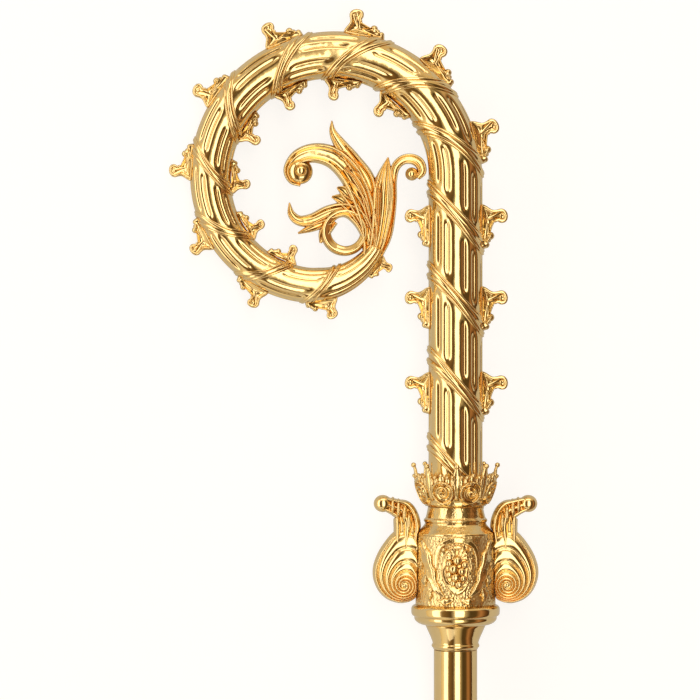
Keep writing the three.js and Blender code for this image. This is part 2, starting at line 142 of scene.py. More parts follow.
@dataclass
class Skin:
    """A growing mesh: corners in millimetres in the staff's axes, and faces."""

    corners: list[np.ndarray] = field(default_factory=list)
    faces: list[tuple[int, ...]] = field(default_factory=list)
    finishes: list[int] = field(default_factory=list)
    count: int = 0

    def add(self, corners: np.ndarray, faces: Iterable[tuple[int, ...]], finish: int = 0) -> None:
        """Add corners and the faces that join them.

        Args:
            corners: one line of x, y, z a corner.
            faces: corner indices, counted from this call's first corner.
            finish: index of the finish on these faces.
        """
        start = self.count
        moved = [tuple(i + start for i in face) for face in faces]
        self.corners.append(np.asarray(corners, float))
        self.faces += moved
        self.finishes += [finish] * len(moved)
        self.count += len(corners)

    def add_rings(self, rings: np.ndarray, joined: bool = False, finish: int = 0) -> None:
        """Skin over a row of closed rings.

        Args:
            rings: rows by sides by x, y, z.
            joined: whether the last ring meets the first; ends are capped if not.
            finish: index of the finish on these faces.
        """
        rows, sides = rings.shape[:2]
        corners = rings.reshape(-1, 3)
        volume = ring_volume(rings)
        faces = []
        for row in range(rows if joined else rows - 1):
            below, above = row * sides, (row + 1) % rows * sides
            for side in range(sides):
                across = (side + 1) % sides
                faces.append((below + side, below + across, above + across, above + side))
        if not joined:
            corners = np.vstack([corners, rings[0].mean(0), rings[-1].mean(0)])
            last = (rows - 1) * sides
            for side in range(sides):
                across = (side + 1) % sides
                faces.append((across, side, rows * sides))
                faces.append((last + side, last + across, rows * sides + 1))
        if volume < 0:
            faces = [tuple(reversed(face)) for face in faces]
        self.add(corners, faces, finish)

    def add_ball(
        self, centre: Sequence[float], radii: Sequence[float], sides: int = 20, finish: int = 0
    ) -> None:
        """Add a ball or an egg shape.

        Args:
            centre: its middle.
            radii: its half sizes along x, y and z.
            sides: faces round it.
            finish: index of the finish on it.
        """
        tilts = np.linspace(0, math.pi, sides // 2 + 1)[1:-1]
        turns = np.linspace(0, 2 * math.pi, sides, endpoint=False)
        ring = np.stack([
            np.sin(tilts)[:, None] * np.cos(turns),
            np.sin(tilts)[:, None] * np.sin(turns),
            np.repeat(np.cos(tilts)[:, None], sides, 1),
        ], -1)
        self.add_rings(np.array(centre) + ring * np.array(radii), finish=finish)

    def piece(
        self, name: str, finishes: Sequence[bpy.types.Material], nodes: Sequence[str]
    ) -> bpy.types.Object:
        """Turn the skin to a smooth shaded object that stands for its solids.

        Args:
            name: the object's name.
            finishes: materials, in the order of the faces' indices.
            nodes: the solids it stands for.

        Returns:
            The object, laid in the row's frame.
        """
        mesh = bpy.data.meshes.new(name)
        mesh.from_pydata((np.vstack(self.corners) * MM).tolist(), [], self.faces)
        mesh.validate()
        mesh.transform(LAID)
        for finish in finishes:
            mesh.materials.append(finish)
        mesh.polygons.foreach_set("use_smooth", [True] * len(mesh.polygons))
        if len(mesh.polygons) == len(self.finishes):
            mesh.polygons.foreach_set("material_index", self.finishes)
        obj = bpy.data.objects.new(name, mesh)
        bpy.context.scene.collection.objects.link(obj)
        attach(obj, "root")
        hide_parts(*nodes)
        triangles = sum(len(face) - 2 for face in self.faces)
        log.info("%s: %d triangles, for %d solids", name, triangles, len(nodes))
        return obj


def ring_volume(rings: np.ndarray) -> float:
    """Signed volume inside a row of rings, to tell which way their faces look."""
    a, b = rings[:-1], rings[1:]
    middle = rings.mean((0, 1))
    first, second, third = a - middle, np.roll(a, -1, 1) - middle, b - middle
    return float(np.einsum("ijk,ijk->", np.cross(first, second), third))


def sweep(
    route: np.ndarray, across: np.ndarray, wide: np.ndarray, thick: np.ndarray, sides: int
) -> np.ndarray:
    """Sweep an oval along a route that lies in one plane.

    Args:
        route: points along the middle.
        across: unit direction square to the route's plane.
        wide: half sizes along that direction.
        thick: half sizes in the plane.
        sides: points round each oval.

    Returns:
        Rings, rows by sides by x, y, z.
    """
    along = np.gradient(route, axis=0)
    along /= np.linalg.norm(along, axis=1)[:, None]
    beside = np.cross(across, along)
    lie = np.linspace(0, 2 * math.pi, sides, endpoint=False)
    wide, thick = (np.broadcast_to(size, len(route))[:, None, None] for size in (wide, thick))
    return (
        route[:, None]
        + np.cos(lie)[None, :, None] * wide * across
        + np.sin(lie)[None, :, None] * thick * beside[:, None]
    )


def find_staff_axes() -> Matrix:
    """Read the staff's own axes off the solids.

    Returns:
        Matrix from metres in the staff's axes to the row's frame.
    """
    def corners(node: str) -> np.ndarray:
        """Distinct corners of a solid."""
        places = np.array([v.co[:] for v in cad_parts[node].data.vertices])
        return np.unique(np.round(places, 6), axis=0)

    upper, lower = corners("staff_section_1"), corners("staff_section_3")
    along = upper.mean(0) - lower.mean(0)
    along /= np.linalg.norm(along)
    top = ((upper - lower.mean(0)) @ along).max()
    origin = lower.mean(0) + along * (top - STAFF_TOP_Y * MM)
    sideways = origin - corners("crook_rod").mean(0)
    sideways -= along * (sideways @ along)
    sideways /= np.linalg.norm(sideways)
    facing = np.cross(sideways, along)
    axes = np.eye(4)
    axes[:3, 0], axes[:3, 1], axes[:3, 2], axes[:3, 3] = sideways, along, facing, origin
    return Matrix(axes.tolist())


STAFF_TOP_Y = -87.3
STAFF_RADIUS = 13.0
LAID = find_staff_axes()


# -------------------------------------------------------------------- finishes


@dataclass(frozen=True)
class GildedFinish:
    """Gold plate on cast or turned brass, as the buffing wheel left it.

    Gives the eye near-mirror highlights that run from cream to deep yellow, a
    faint unevenness of the plate, hair-fine buffing lines, and painted shade: a
    darker, warmer gold laid into its recesses.
    """

    name: str
    bright: str = "#F7DEA4"
    deep: str = "#EBCC8E"
    # painted shade: the darker, warmer gold mixed into recesses in place of the shade there
    painted_shade_colour: str = "#DAB06A"
    roughness: float = 0.1
    ripple_mm: float = 9.0
    ripple_height: float = 0.02
    scratch_mm: float = 0.35
    scratch_height: float = 0.002
    # how far the ambient occlusion reaches when it finds recesses for the painted shade
    painted_shade_reach_mm: float = 3.0

    def material(self) -> bpy.types.Material:
        """Build the finish as a material.

        Returns:
            The node material.
        """
        made = bpy.data.materials.new(self.name)
        made.use_nodes = True
        tree = made.node_tree
        tree.nodes.clear()
        places = add_node(tree, "ShaderNodeTexCoord").outputs["Object"]
        shader = add_node(tree, "ShaderNodeBsdfPrincipled", {"Metallic": 1.0})
        tree.links.new(self.colour(tree, places), shader.inputs["Base Color"])
        tree.links.new(self.gloss(tree, places), shader.inputs["Roughness"])
        tree.links.new(self.relief(tree, places), shader.inputs["Normal"])
        add_node(tree, "ShaderNodeOutputMaterial", links={"Surface": shader.outputs["BSDF"]})
        return made

    def colour(
        self, tree: bpy.types.NodeTree, places: bpy.types.NodeSocket
    ) -> bpy.types.NodeSocket:
        """Mix the plate's colour: cloudy between bright and deep, with painted shade in
        the recesses, a darker, warmer gold where ambient occlusion finds them.

        Args:
            tree: node tree of the material.
            places: object coordinates in metres.

        Returns:
            The colour socket.
        """
        clouds = add_node(
            tree, "ShaderNodeTexNoise", {"Scale": 1 / (14 * MM), "Detail": 3.0}, {"Vector": places}
        )
        plate = add_node(
            tree,
            "ShaderNodeMix",
            {"data_type": "RGBA", 6: linear(self.bright), 7: linear(self.deep)},
            {0: clouds.outputs["Fac"]},
        )
        # painted shade: ambient occlusion finds the recesses, and the plate's colour is mixed there
        # towards a darker, warmer gold
        painted_shade_occlusion = add_node(
            tree, "ShaderNodeAmbientOcclusion", {"samples": 6, "Distance": self.painted_shade_reach_mm * MM}
        )
        shade = add_node(
            tree,
            "ShaderNodeMapRange",
            {"From Min": 0.35, "From Max": 0.9, "To Min": 1.0, "To Max": 0.0},
            {"Value": painted_shade_occlusion.outputs["AO"]},
        )
        plate_with_painted_shade = add_node(
            tree,
            "ShaderNodeMix",
            {"data_type": "RGBA", 7: linear(self.painted_shade_colour)},
            {0: shade.outputs["Result"], 6: plate.outputs[2]},
        )
        return plate_with_painted_shade.outputs[2]

    def gloss(
        self, tree: bpy.types.NodeTree, places: bpy.types.NodeSocket
    ) -> bpy.types.NodeSocket:
        """Vary the roughness a little, as handling dulls the plate in patches.

        Args:
            tree: node tree of the material.
            places: object coordinates in metres.

        Returns:
            The roughness socket.
        """
        patches = add_node(
            tree, "ShaderNodeTexNoise", {"Scale": 1 / (6 * MM), "Detail": 4.0}, {"Vector": places}
        )
        spread = add_node(
            tree,
            "ShaderNodeMapRange",
            {"From Min": 0.3, "From Max": 0.7, "To Min": self.roughness * 0.7,
             "To Max": self.roughness * 1.4},
            {"Value": patches.outputs["Fac"]},
        )
        return spread.outputs["Result"]

    def relief(
        self, tree: bpy.types.NodeTree, places: bpy.types.NodeSocket
    ) -> bpy.types.NodeSocket:
        """Bump the plate: a slow ripple of the casting under fine buffing lines.

        Args:
            tree: node tree of the material.
            places: object coordinates in metres.

        Returns:
            The normal socket.
        """
        ripple = add_node(
            tree,
            "ShaderNodeTexNoise",
            {"Scale": 1 / (self.ripple_mm * MM), "Detail": 2.0},
            {"Vector": places},
        )
        slow = add_node(
            tree,
            "ShaderNodeBump",
            {"Strength": 1.0, "Distance": self.ripple_height * MM * 10},
            {"Height": ripple.outputs["Fac"]},
        )
        lines = add_node(
            tree,
            "ShaderNodeTexNoise",
            {"Scale": 1 / (self.scratch_mm * MM), "Detail": 1.0},
            {"Vector": places},
        )
        fine = add_node(
            tree,
            "ShaderNodeBump",
            {"Strength": 1.0, "Distance": self.scratch_height * MM},
            {"Height": lines.outputs["Fac"], "Normal": slow.outputs["Normal"]},
        )
        return fine.outputs["Normal"]


@dataclass(frozen=True)
class TurnedFinish(GildedFinish):
    """Gold plate on lathe-turned brass: a mirror with the faintest rings round the axis."""

    pitch_mm: float = 0.6

    def relief(
        self, tree: bpy.types.NodeTree, places: bpy.types.NodeSocket
    ) -> bpy.types.NodeSocket:
        """Bump the plate with rings that the turning tool left.

        Args:
            tree: node tree of the material.
            places: object coordinates in metres.

        Returns:
            The normal socket.
        """
        rings = add_node(
            tree,
            "ShaderNodeMapping",
            {"Scale": (0.02, 1.0, 0.02)},
            {"Vector": places},
        )
        noise = add_node(
            tree,
            "ShaderNodeTexNoise",
            {"Scale": 1 / (self.pitch_mm * MM), "Detail": 2.0},
            {"Vector": rings.outputs["Vector"]},
        )
        bump = add_node(
            tree,
            "ShaderNodeBump",
            {"Strength": 1.0, "Distance": self.scratch_height * MM},
            {"Height": noise.outputs["Fac"]},
        )
        return bump.outputs["Normal"]


@dataclass(frozen=True)
class StippledFinish(GildedFinish):
    """Gold plate on a ground stippled with a round punch, which glitters and looks satin."""

    punch_mm: float = 1.5
    punch_depth: float = 0.4

    def relief(
        self, tree: bpy.types.NodeTree, places: bpy.types.NodeSocket
    ) -> bpy.types.NodeSocket:
        """Bump the plate with round punch marks.

        Args:
            tree: node tree of the material.
            places: object coordinates in metres.

        Returns:
            The normal socket.
        """
        marks = add_node(
            tree,
            "ShaderNodeTexVoronoi",
            {"Scale": 1 / (self.punch_mm * MM)},
            {"Vector": places},
        )
        bump = add_node(
            tree,
            "ShaderNodeBump",
            {"Strength": 0.9, "Distance": self.punch_depth * MM},
            {"Height": marks.outputs["Distance"]},
        )
        return bump.outputs["Normal"]


CAST_PLATE = GildedFinish("polished_gold_plate_on_cast_brass")
TURNED_PLATE = TurnedFinish("polished_gold_plate_on_turned_brass", roughness=0.09)
CHASED_PLATE = GildedFinish(
    "gold_plate_on_chased_brass", roughness=0.16, ripple_mm=2.5, ripple_height=0.03
)
STIPPLED_PLATE = StippledFinish("gold_plate_on_stippled_brass", roughness=0.26)


# ------------------------------------------------------------------- crook rod


@dataclass(frozen=True)
class CrookLine:
    """Centre line of the crook: a straight stem, then arcs of falling radius."""

    stem_top: float = 195.9
    arcs: tuple[tuple[float, float], ...] = ((73.5, 180.0), (65.0, 80.0), (44.0, 71.0))
    rod_radius: float = 16.2
    taper: float = 0.0171
    taper_from: float = 196.0
    tip_taper: float = 0.1
    tip_taper_from: float = 530.0

    def end(self) -> float:
        """Length of the whole centre line."""
        return self.stem_top + sum(radius * math.radians(sweep) for radius, sweep in self.arcs)

    def at(self, distance: np.ndarray) -> tuple[np.ndarray, np.ndarray]:
        """Find places and outward directions on the line.

        Args:
            distance: millimetres along the line.

        Returns:
            Places and outward directions, x and y in the last axis.
        """
        distance = np.asarray(distance, float)
        place = np.stack([np.zeros_like(distance), np.minimum(distance, self.stem_top)], -1)
        angle = np.zeros_like(distance)
        left = distance - self.stem_top
        for radius, sweep in self.arcs:
            step = np.clip(left / radius, 0, math.radians(sweep))
            before = np.stack([np.cos(angle), np.sin(angle)], -1)
            angle = angle + step
            after = np.stack([np.cos(angle), np.sin(angle)], -1)
            place = place + radius * (after - before)
            left = left - radius * step
        outward = np.stack([np.cos(angle), np.sin(angle)], -1)
        ahead = np.stack([-outward[..., 1], outward[..., 0]], -1)
        return place + ahead * np.maximum(left, 0)[..., None], outward

    def radius(self, distance: np.ndarray) -> np.ndarray:
        """Radius of the rod at distances along the line."""
        return (
            self.rod_radius
            - self.taper * np.maximum(0, distance - self.taper_from)
            - self.tip_taper * np.maximum(0, distance - self.tip_taper_from)
        )

    def bend(self, distance: float) -> float:
        """Radius of the line's own curve at a distance, infinite on the stem."""
        start = self.stem_top
        if distance <= start:
            return math.inf
        for radius, sweep in self.arcs:
            start += radius * math.radians(sweep)
            if distance <= start:
                return radius
        return self.arcs[-1][0]

    def ring(self, distance: np.ndarray, radius: np.ndarray, turn: np.ndarray) -> np.ndarray:
        """Find points round the line.

        Args:
            distance: millimetres along the line.
            radius: millimetres from it.
            turn: angles round it, 0 on the outer side, a quarter turn in front.

        Returns:
            Points, x, y and z in the last axis.
        """
        place, outward = self.at(distance)
        flat = place + outward * (radius * np.cos(turn))[..., None]
        return np.concatenate([flat, (radius * np.sin(turn))[..., None]], -1)

    def off(
        self, distance: np.ndarray, side: float, radial: np.ndarray, z: np.ndarray
    ) -> np.ndarray:
        """Find points beside the line.

        Args:
            distance: millimetres along the line.
            side: 1 on the outer side, -1 on the inner.
            radial: millimetres from the line in the crook's plane.
            z: millimetres out of that plane.

        Returns:
            Points, x, y and z in the last axis.
        """
        place, outward = self.at(distance)
        flat = place + outward * (side * radial)[..., None]
        return np.concatenate([flat, np.asarray(z, float)[..., None]], -1)


LINE = CrookLine()
OUTER_BUDS = (72, 123, 172, 218, 259, 300, 341, 384, 423, 460.5, 497, 533, 566)
INNER_BUDS = (72, 123, 172, 266, 310, 350, 393, 432, 470, 506)


@dataclass(frozen=True)
class Strand:
    """One strand of a binding, in shares of the binding's half width.

    It lies at ``middle``, bulges ahead by ``bulge`` in front, and swings to and fro by
    ``swing`` round the rod, so that strands cross.
    """

    middle: float
    bulge: float
    swing: float
    half_width: float
    crest: float


@dataclass
class CrookRod:
    """Reeded rod of the crook with its slanting bindings of crossed strands."""

    start: float = -1.0
    reeds: int = 12
    reed_depth: float = 0.105
    reed_shift: tuple[float, ...] = (0, 3, -3, 4, -4, 3, 0, -4, 3, -4, 4, -2)
    base_binding: float = 20.0
    binding_half_width: float = 8.2
    binding_lean: float = 1.08
    crossing: float = math.radians(50)
    strands: tuple[Strand, ...] = (
        Strand(-0.66, 0.10, 0.10, 0.17, 1.3),
        Strand(-0.24, 0.02, 0.20, 0.29, 1.7),
        Strand(0.24, 0.0, -0.20, 0.29, 1.6),
        Strand(0.66, -0.08, -0.12, 0.17, 1.3),
    )
    sides: int = 144
    step: float = 1.5
    strand_steps: int = 72
    strand_sink: float = 0.985
    strand_sides: int = 10

    def bindings(self) -> np.ndarray:
        """Places of the bindings along the rod."""
        return np.array([self.base_binding, *OUTER_BUDS[:-1]])

    def rows(self) -> np.ndarray:
        """Row places along the rod."""
        return np.linspace(self.start, LINE.end(), int((LINE.end() - self.start) / self.step))

    def lean(self, row: np.ndarray) -> np.ndarray:
        """How far a slanting row runs back on its outer side, and ahead on its inner."""
        room = 0.85 * np.minimum(row - self.start, LINE.end() - row)
        return np.minimum(self.binding_lean * LINE.radius(row), np.maximum(0, room))

    def reed(self, turn: np.ndarray) -> np.ndarray:
        """Depth of the reeding round the rod, as a share of its radius.

        Args:
            turn: angles round the rod.

        Returns:
            Depths, all zero or less.
        """
        pitch = 2 * math.pi / self.reeds
        valleys = (np.arange(self.reeds) + 0.5) * pitch + np.radians(self.reed_shift)
        gaps = np.abs((turn[:, None] - valleys + math.pi) % (2 * math.pi) - math.pi)
        near = 1 - np.clip(gaps.min(1) / (pitch / 2), 0, 1)
        return -self.reed_depth * (0.5 * near**2 + 0.5 * near**5)

    def rise(self, row: np.ndarray, turn: np.ndarray) -> np.ndarray:
        """Height of the surface over the plain rod, as a share of the rod's radius.

        Args:
            row: row places.
            turn: angles round the rod, 0 on the outer side, a quarter turn in front.

        Returns:
            The height, rows by turns; the valleys end in lancets at the bindings.
        """
        stations = self.bindings()
        half = self.binding_half_width * LINE.radius(stations) / LINE.rod_radius
        nearest = np.abs(row[:, None] - stations).argmin(1)
        offset = np.abs(row - stations[nearest]) / half[nearest]
        return self.reed(turn)[None, :] * smooth_step(offset, 0.85, 1.5)[:, None]

    def strand_rings(self, station: float, strand: Strand, number: int) -> np.ndarray:
        """Rings of one strand, bound round the rod.

        Args:
            station: the binding's place.
            strand: the strand's shape.
            number: the binding's number, which varies the crossing a little.

        Returns:
            Rings, rows by sides by x, y, z.
        """
        turn = np.linspace(0, 2 * math.pi, self.strand_steps, endpoint=False)[:, None]
        lie = np.linspace(0, 2 * math.pi, self.strand_sides, endpoint=False)[None, :]
        half = self.binding_half_width * float(LINE.radius(np.array(station))) / LINE.rod_radius
        front = np.abs(np.sin(turn))
        sway = 0.35 * math.sin(1.7 * number)
        swing = strand.swing * np.sin(2 * (turn - self.crossing + sway))
        middle = strand.middle * (0.72 + 0.28 * front) + strand.bulge * front + swing
        width = strand.half_width * (0.62 + 0.38 * front)
        row = station + half * (middle + width * np.cos(lie))
        lean = min(self.lean(np.array([station]))[0], 0.97 * (station - self.start))
        distance = row - lean * np.cos(turn)
        crest = strand.crest * half / self.binding_half_width * (0.8 + 0.2 * np.cos(2 * turn + 1.3))
        radius = LINE.radius(distance) * self.strand_sink + crest * (0.1 + np.sin(lie))
        return LINE.ring(distance, radius, turn)

    def build(self, cast: bpy.types.Material) -> bpy.types.Object:
        """Build the rod and its bindings.

        Args:
            cast: finish of the casting.

        Returns:
            The rod.
        """
        row = self.rows()
        turn = np.linspace(0, 2 * math.pi, self.sides, endpoint=False)
        distance = row[:, None] - self.lean(row)[:, None] * np.cos(turn)
        radius = LINE.radius(distance) * (1 + self.rise(row, turn))
        skin = Skin()
        skin.add_rings(LINE.ring(distance, radius, turn))
        for number, station in enumerate(self.bindings()):
            for strand in self.strands:
                skin.add_rings(self.strand_rings(station, strand, number), joined=True)
        return skin.piece("crook_rod_reeded", [cast], ["crook_rod"])


# ------------------------------------------------------------------- leaf buds


@dataclass
class LeafBuds:
    """Leaf buds soldered along the rod: hollowed sides, raised rims, balled tips."""

    height: float = 15.5
    length: float = 27.0
    shrink: float = 0.72
    inner_share: float = 0.94
    tip_back: float = 0.28
    outline: tuple[tuple[float, float], ...] = (
        (0.00, 0.00), (0.16, 0.045), (0.30, 0.10), (0.46, 0.14), (0.64, 0.135), (0.80, 0.12),
        (0.93, 0.16), (0.99, 0.25), (0.95, 0.34), (0.82, 0.37), (0.66, 0.345), (0.54, 0.38),
        (0.44, 0.50), (0.38, 0.62), (0.40, 0.72), (0.33, 0.81), (0.25, 0.88), (0.21, 0.96),
        (0.00, 1.00),
    )
    layers: tuple[tuple[float, float, float], ...] = (
        (1.0, 0.24, 1.10), (0.75, 0.26, 1.08), (0.5, 0.36, 1.0), (0.3, 0.56, 0.95),
        (0.17, 0.84, 0.85), (0.08, 0.86, 0.7), (0.0, 0.4, 0.3),
    )
    balls: tuple[tuple[float, float, float], ...] = (
        (0.83, 0.25, 2.95), (0.36, 0.69, 2.5), (0.2, 0.89, 2.1), (0.3, 0.79, 1.4),
    )

    def scale(self, station: float, side: int) -> float:
        """Size of a bud, as a share of the largest."""
        share = float(LINE.radius(np.array(station))) / LINE.rod_radius
        size = self.shrink + (1 - self.shrink) * (share - 0.6) / 0.4
        return size * (1 if side > 0 else self.inner_share)

    def place(
        self, station: float, side: int, share: np.ndarray, back: np.ndarray, z: np.ndarray
    ) -> np.ndarray:
        """Lay bud points along the rod.

        Args:
            station: where the bud stands.
            side: 1 on the outer side, -1 on the inner.
            share: heights off the rod, as shares of the bud's height.
            back: distances back from its top corner, as shares of its length.
            z: half depths, in shares of the bud's height.

        Returns:
            Points in the staff's axes.
        """
        size = self.scale(station, side)
        bend = LINE.bend(station)
        reach = float(LINE.radius(np.array(station)))
        stretch = 1 if math.isinf(bend) else bend / (bend + side * reach)
        distance = station + (self.tip_back - back) * self.length * size * stretch
        radial = LINE.radius(distance) + (share - 0.06) * self.height * size
        return LINE.off(distance, side, radial, z * self.height * size)

    def half_depth(self, share: np.ndarray) -> np.ndarray:
        """Half the bud's depth at heights off the rod, as shares of its height."""
        return 0.34 - 0.17 * np.sqrt(np.clip(share, 0, 1))

    def add_body(self, skin: Skin, station: float, side: int) -> None:
        """Add the bud's body: from the hollow of one side, over the rim, to the other.

        Args:
            skin: mesh that gets it.
            station: where it stands.
            side: 1 on the outer side, -1 on the inner.
        """
        edge = smooth_row(self.outline, 60)
        tip = np.exp(-(((edge[:, 0] - 1.0) / 0.22) ** 2))
        hub = (1 - tip)[:, None] * np.array([0.22, 0.34]) + tip[:, None] * np.array([0.86, 0.25])
        wide = self.half_depth(edge[:, 0])
        veins = 0.12 * np.cos(np.linspace(0, 11 * math.pi, len(edge)))
        front = []
        for inward, depth, swell in self.layers:
            deep = wide * (depth * (1 - tip) + swell * tip)
            deep = deep * (1 + veins * (0.2 < inward < 1))
            front.append((edge + (hub - edge) * inward, deep))
        faces = front + [(spot, -deep) for spot, deep in reversed(front)]
        skin.add_rings(np.array([
            self.place(station, side, spot[:, 0], spot[:, 1], deep) for spot, deep in faces
        ]))

    def add_rims(self, skin: Skin, station: float, side: int) -> None:
        """Add the rolled rims that run from the rod, round the tip, to the first bead.

        Args:
            skin: mesh that gets them.
            station: where the bud stands.
            side: 1 on the outer side, -1 on the inner.
        """
        edge = smooth_row(self.outline[:12], 44)
        inset = edge + (np.array([0.5, 0.25]) - edge) * 0.06
        size = self.scale(station, side)
        thick = size * (0.8 + 0.45 * np.exp(-(((edge[:, 0] - 0.95) / 0.25) ** 2)))
        for face in (1, -1):
            deep = face * self.half_depth(edge[:, 0]) * 0.78
            route = self.place(station, side, inset[:, 0], inset[:, 1], deep)
            skin.add_rings(sweep(route, np.array([0, 0, 1]), thick, thick, 9))

    def build(self, cast: bpy.types.Material) -> list[bpy.types.Object]:
        """Build every bud as a piece of its own.

        Args:
            cast: finish of the castings.

        Returns:
            The buds.
        """
        made = []
        for side, stem, stations in ((1, "outer", OUTER_BUDS), (-1, "inner", INNER_BUDS)):
            for number, station in enumerate(stations, 1):
                skin = Skin()
                self.add_body(skin, station, side)
                self.add_rims(skin, station, side)
                size = self.scale(station, side)
                for share, back, radius in self.balls:
                    spot = self.place(
                        station, side, np.array([share]), np.array([back]), np.array([0.0])
                    )[0]
                    skin.add_ball(spot, [radius * size] * 3, 16)
                node = f"{stem}_leaf_bud_{number}"
                made.append(skin.piece(f"{node}_cast", [cast], [node]))
        return made


# ----------------------------------------------------------- terminal foliage


class BladeFace(Enum):
    """How the front of a leaf blade is worked."""

    CHANNELLED = "channelled"
    FLUTED = "fluted"


@dataclass(frozen=True)
class Blade:
    """One leaf blade over stations of x, y, width and depth."""

    stations: tuple[tuple[float, float, float, float], ...]
    face: BladeFace = BladeFace.CHANNELLED
    lobes: float = 0.0
    steps: int = 70
    sides: int = 32

    def section(self) -> np.ndarray:
        """Outline of the blade's section: across from -1 to 1, and up.

        Returns:
            Points round the section.
        """
        across = np.cos(np.linspace(0, math.pi, self.sides // 2 + 1))
        edge = (1 - np.abs(across) ** 5) ** 0.5
        if self.face is BladeFace.CHANNELLED:
            front = edge * (0.2 + 0.8 * np.exp(-(((np.abs(across) - 0.74) / 0.22) ** 2)))
            front += 0.14 * np.exp(-((across / 0.14) ** 2))
        else:
            front = edge * (0.70 + 0.30 * np.cos(2 * math.pi * across * 1.35))
        back = -edge * (0.8 + 0.12 * np.cos(2 * math.pi * across))
        upper = np.stack([across, front], -1)
        lower = np.stack([across, back], -1)[::-1][1:-1]
        return np.vstack([upper, lower])

    def rings(self) -> np.ndarray:
        """Rings of the blade from its root to its tip.

        Returns:
            Rows by sides by x, y, z.
        """
        route = smooth_row(self.stations, self.steps)
        along = np.gradient(route[:, :2], axis=0)
        along /= np.linalg.norm(along, axis=1)[:, None]
        share = np.linspace(0, 1, self.steps)
        width = route[:, 2] * (1 + 0.09 * np.sin(2 * math.pi * self.lobes * share))
        depth = np.maximum(route[:, 3], 0.3)
        section = self.section()
        x = route[:, None, 0] - along[:, None, 1] * section[:, 0] * width[:, None] / 2
        y = route[:, None, 1] + along[:, None, 0] * section[:, 0] * width[:, None] / 2
        z = section[:, 1] * depth[:, None] / 2
        return np.stack([x, y, z], -1)


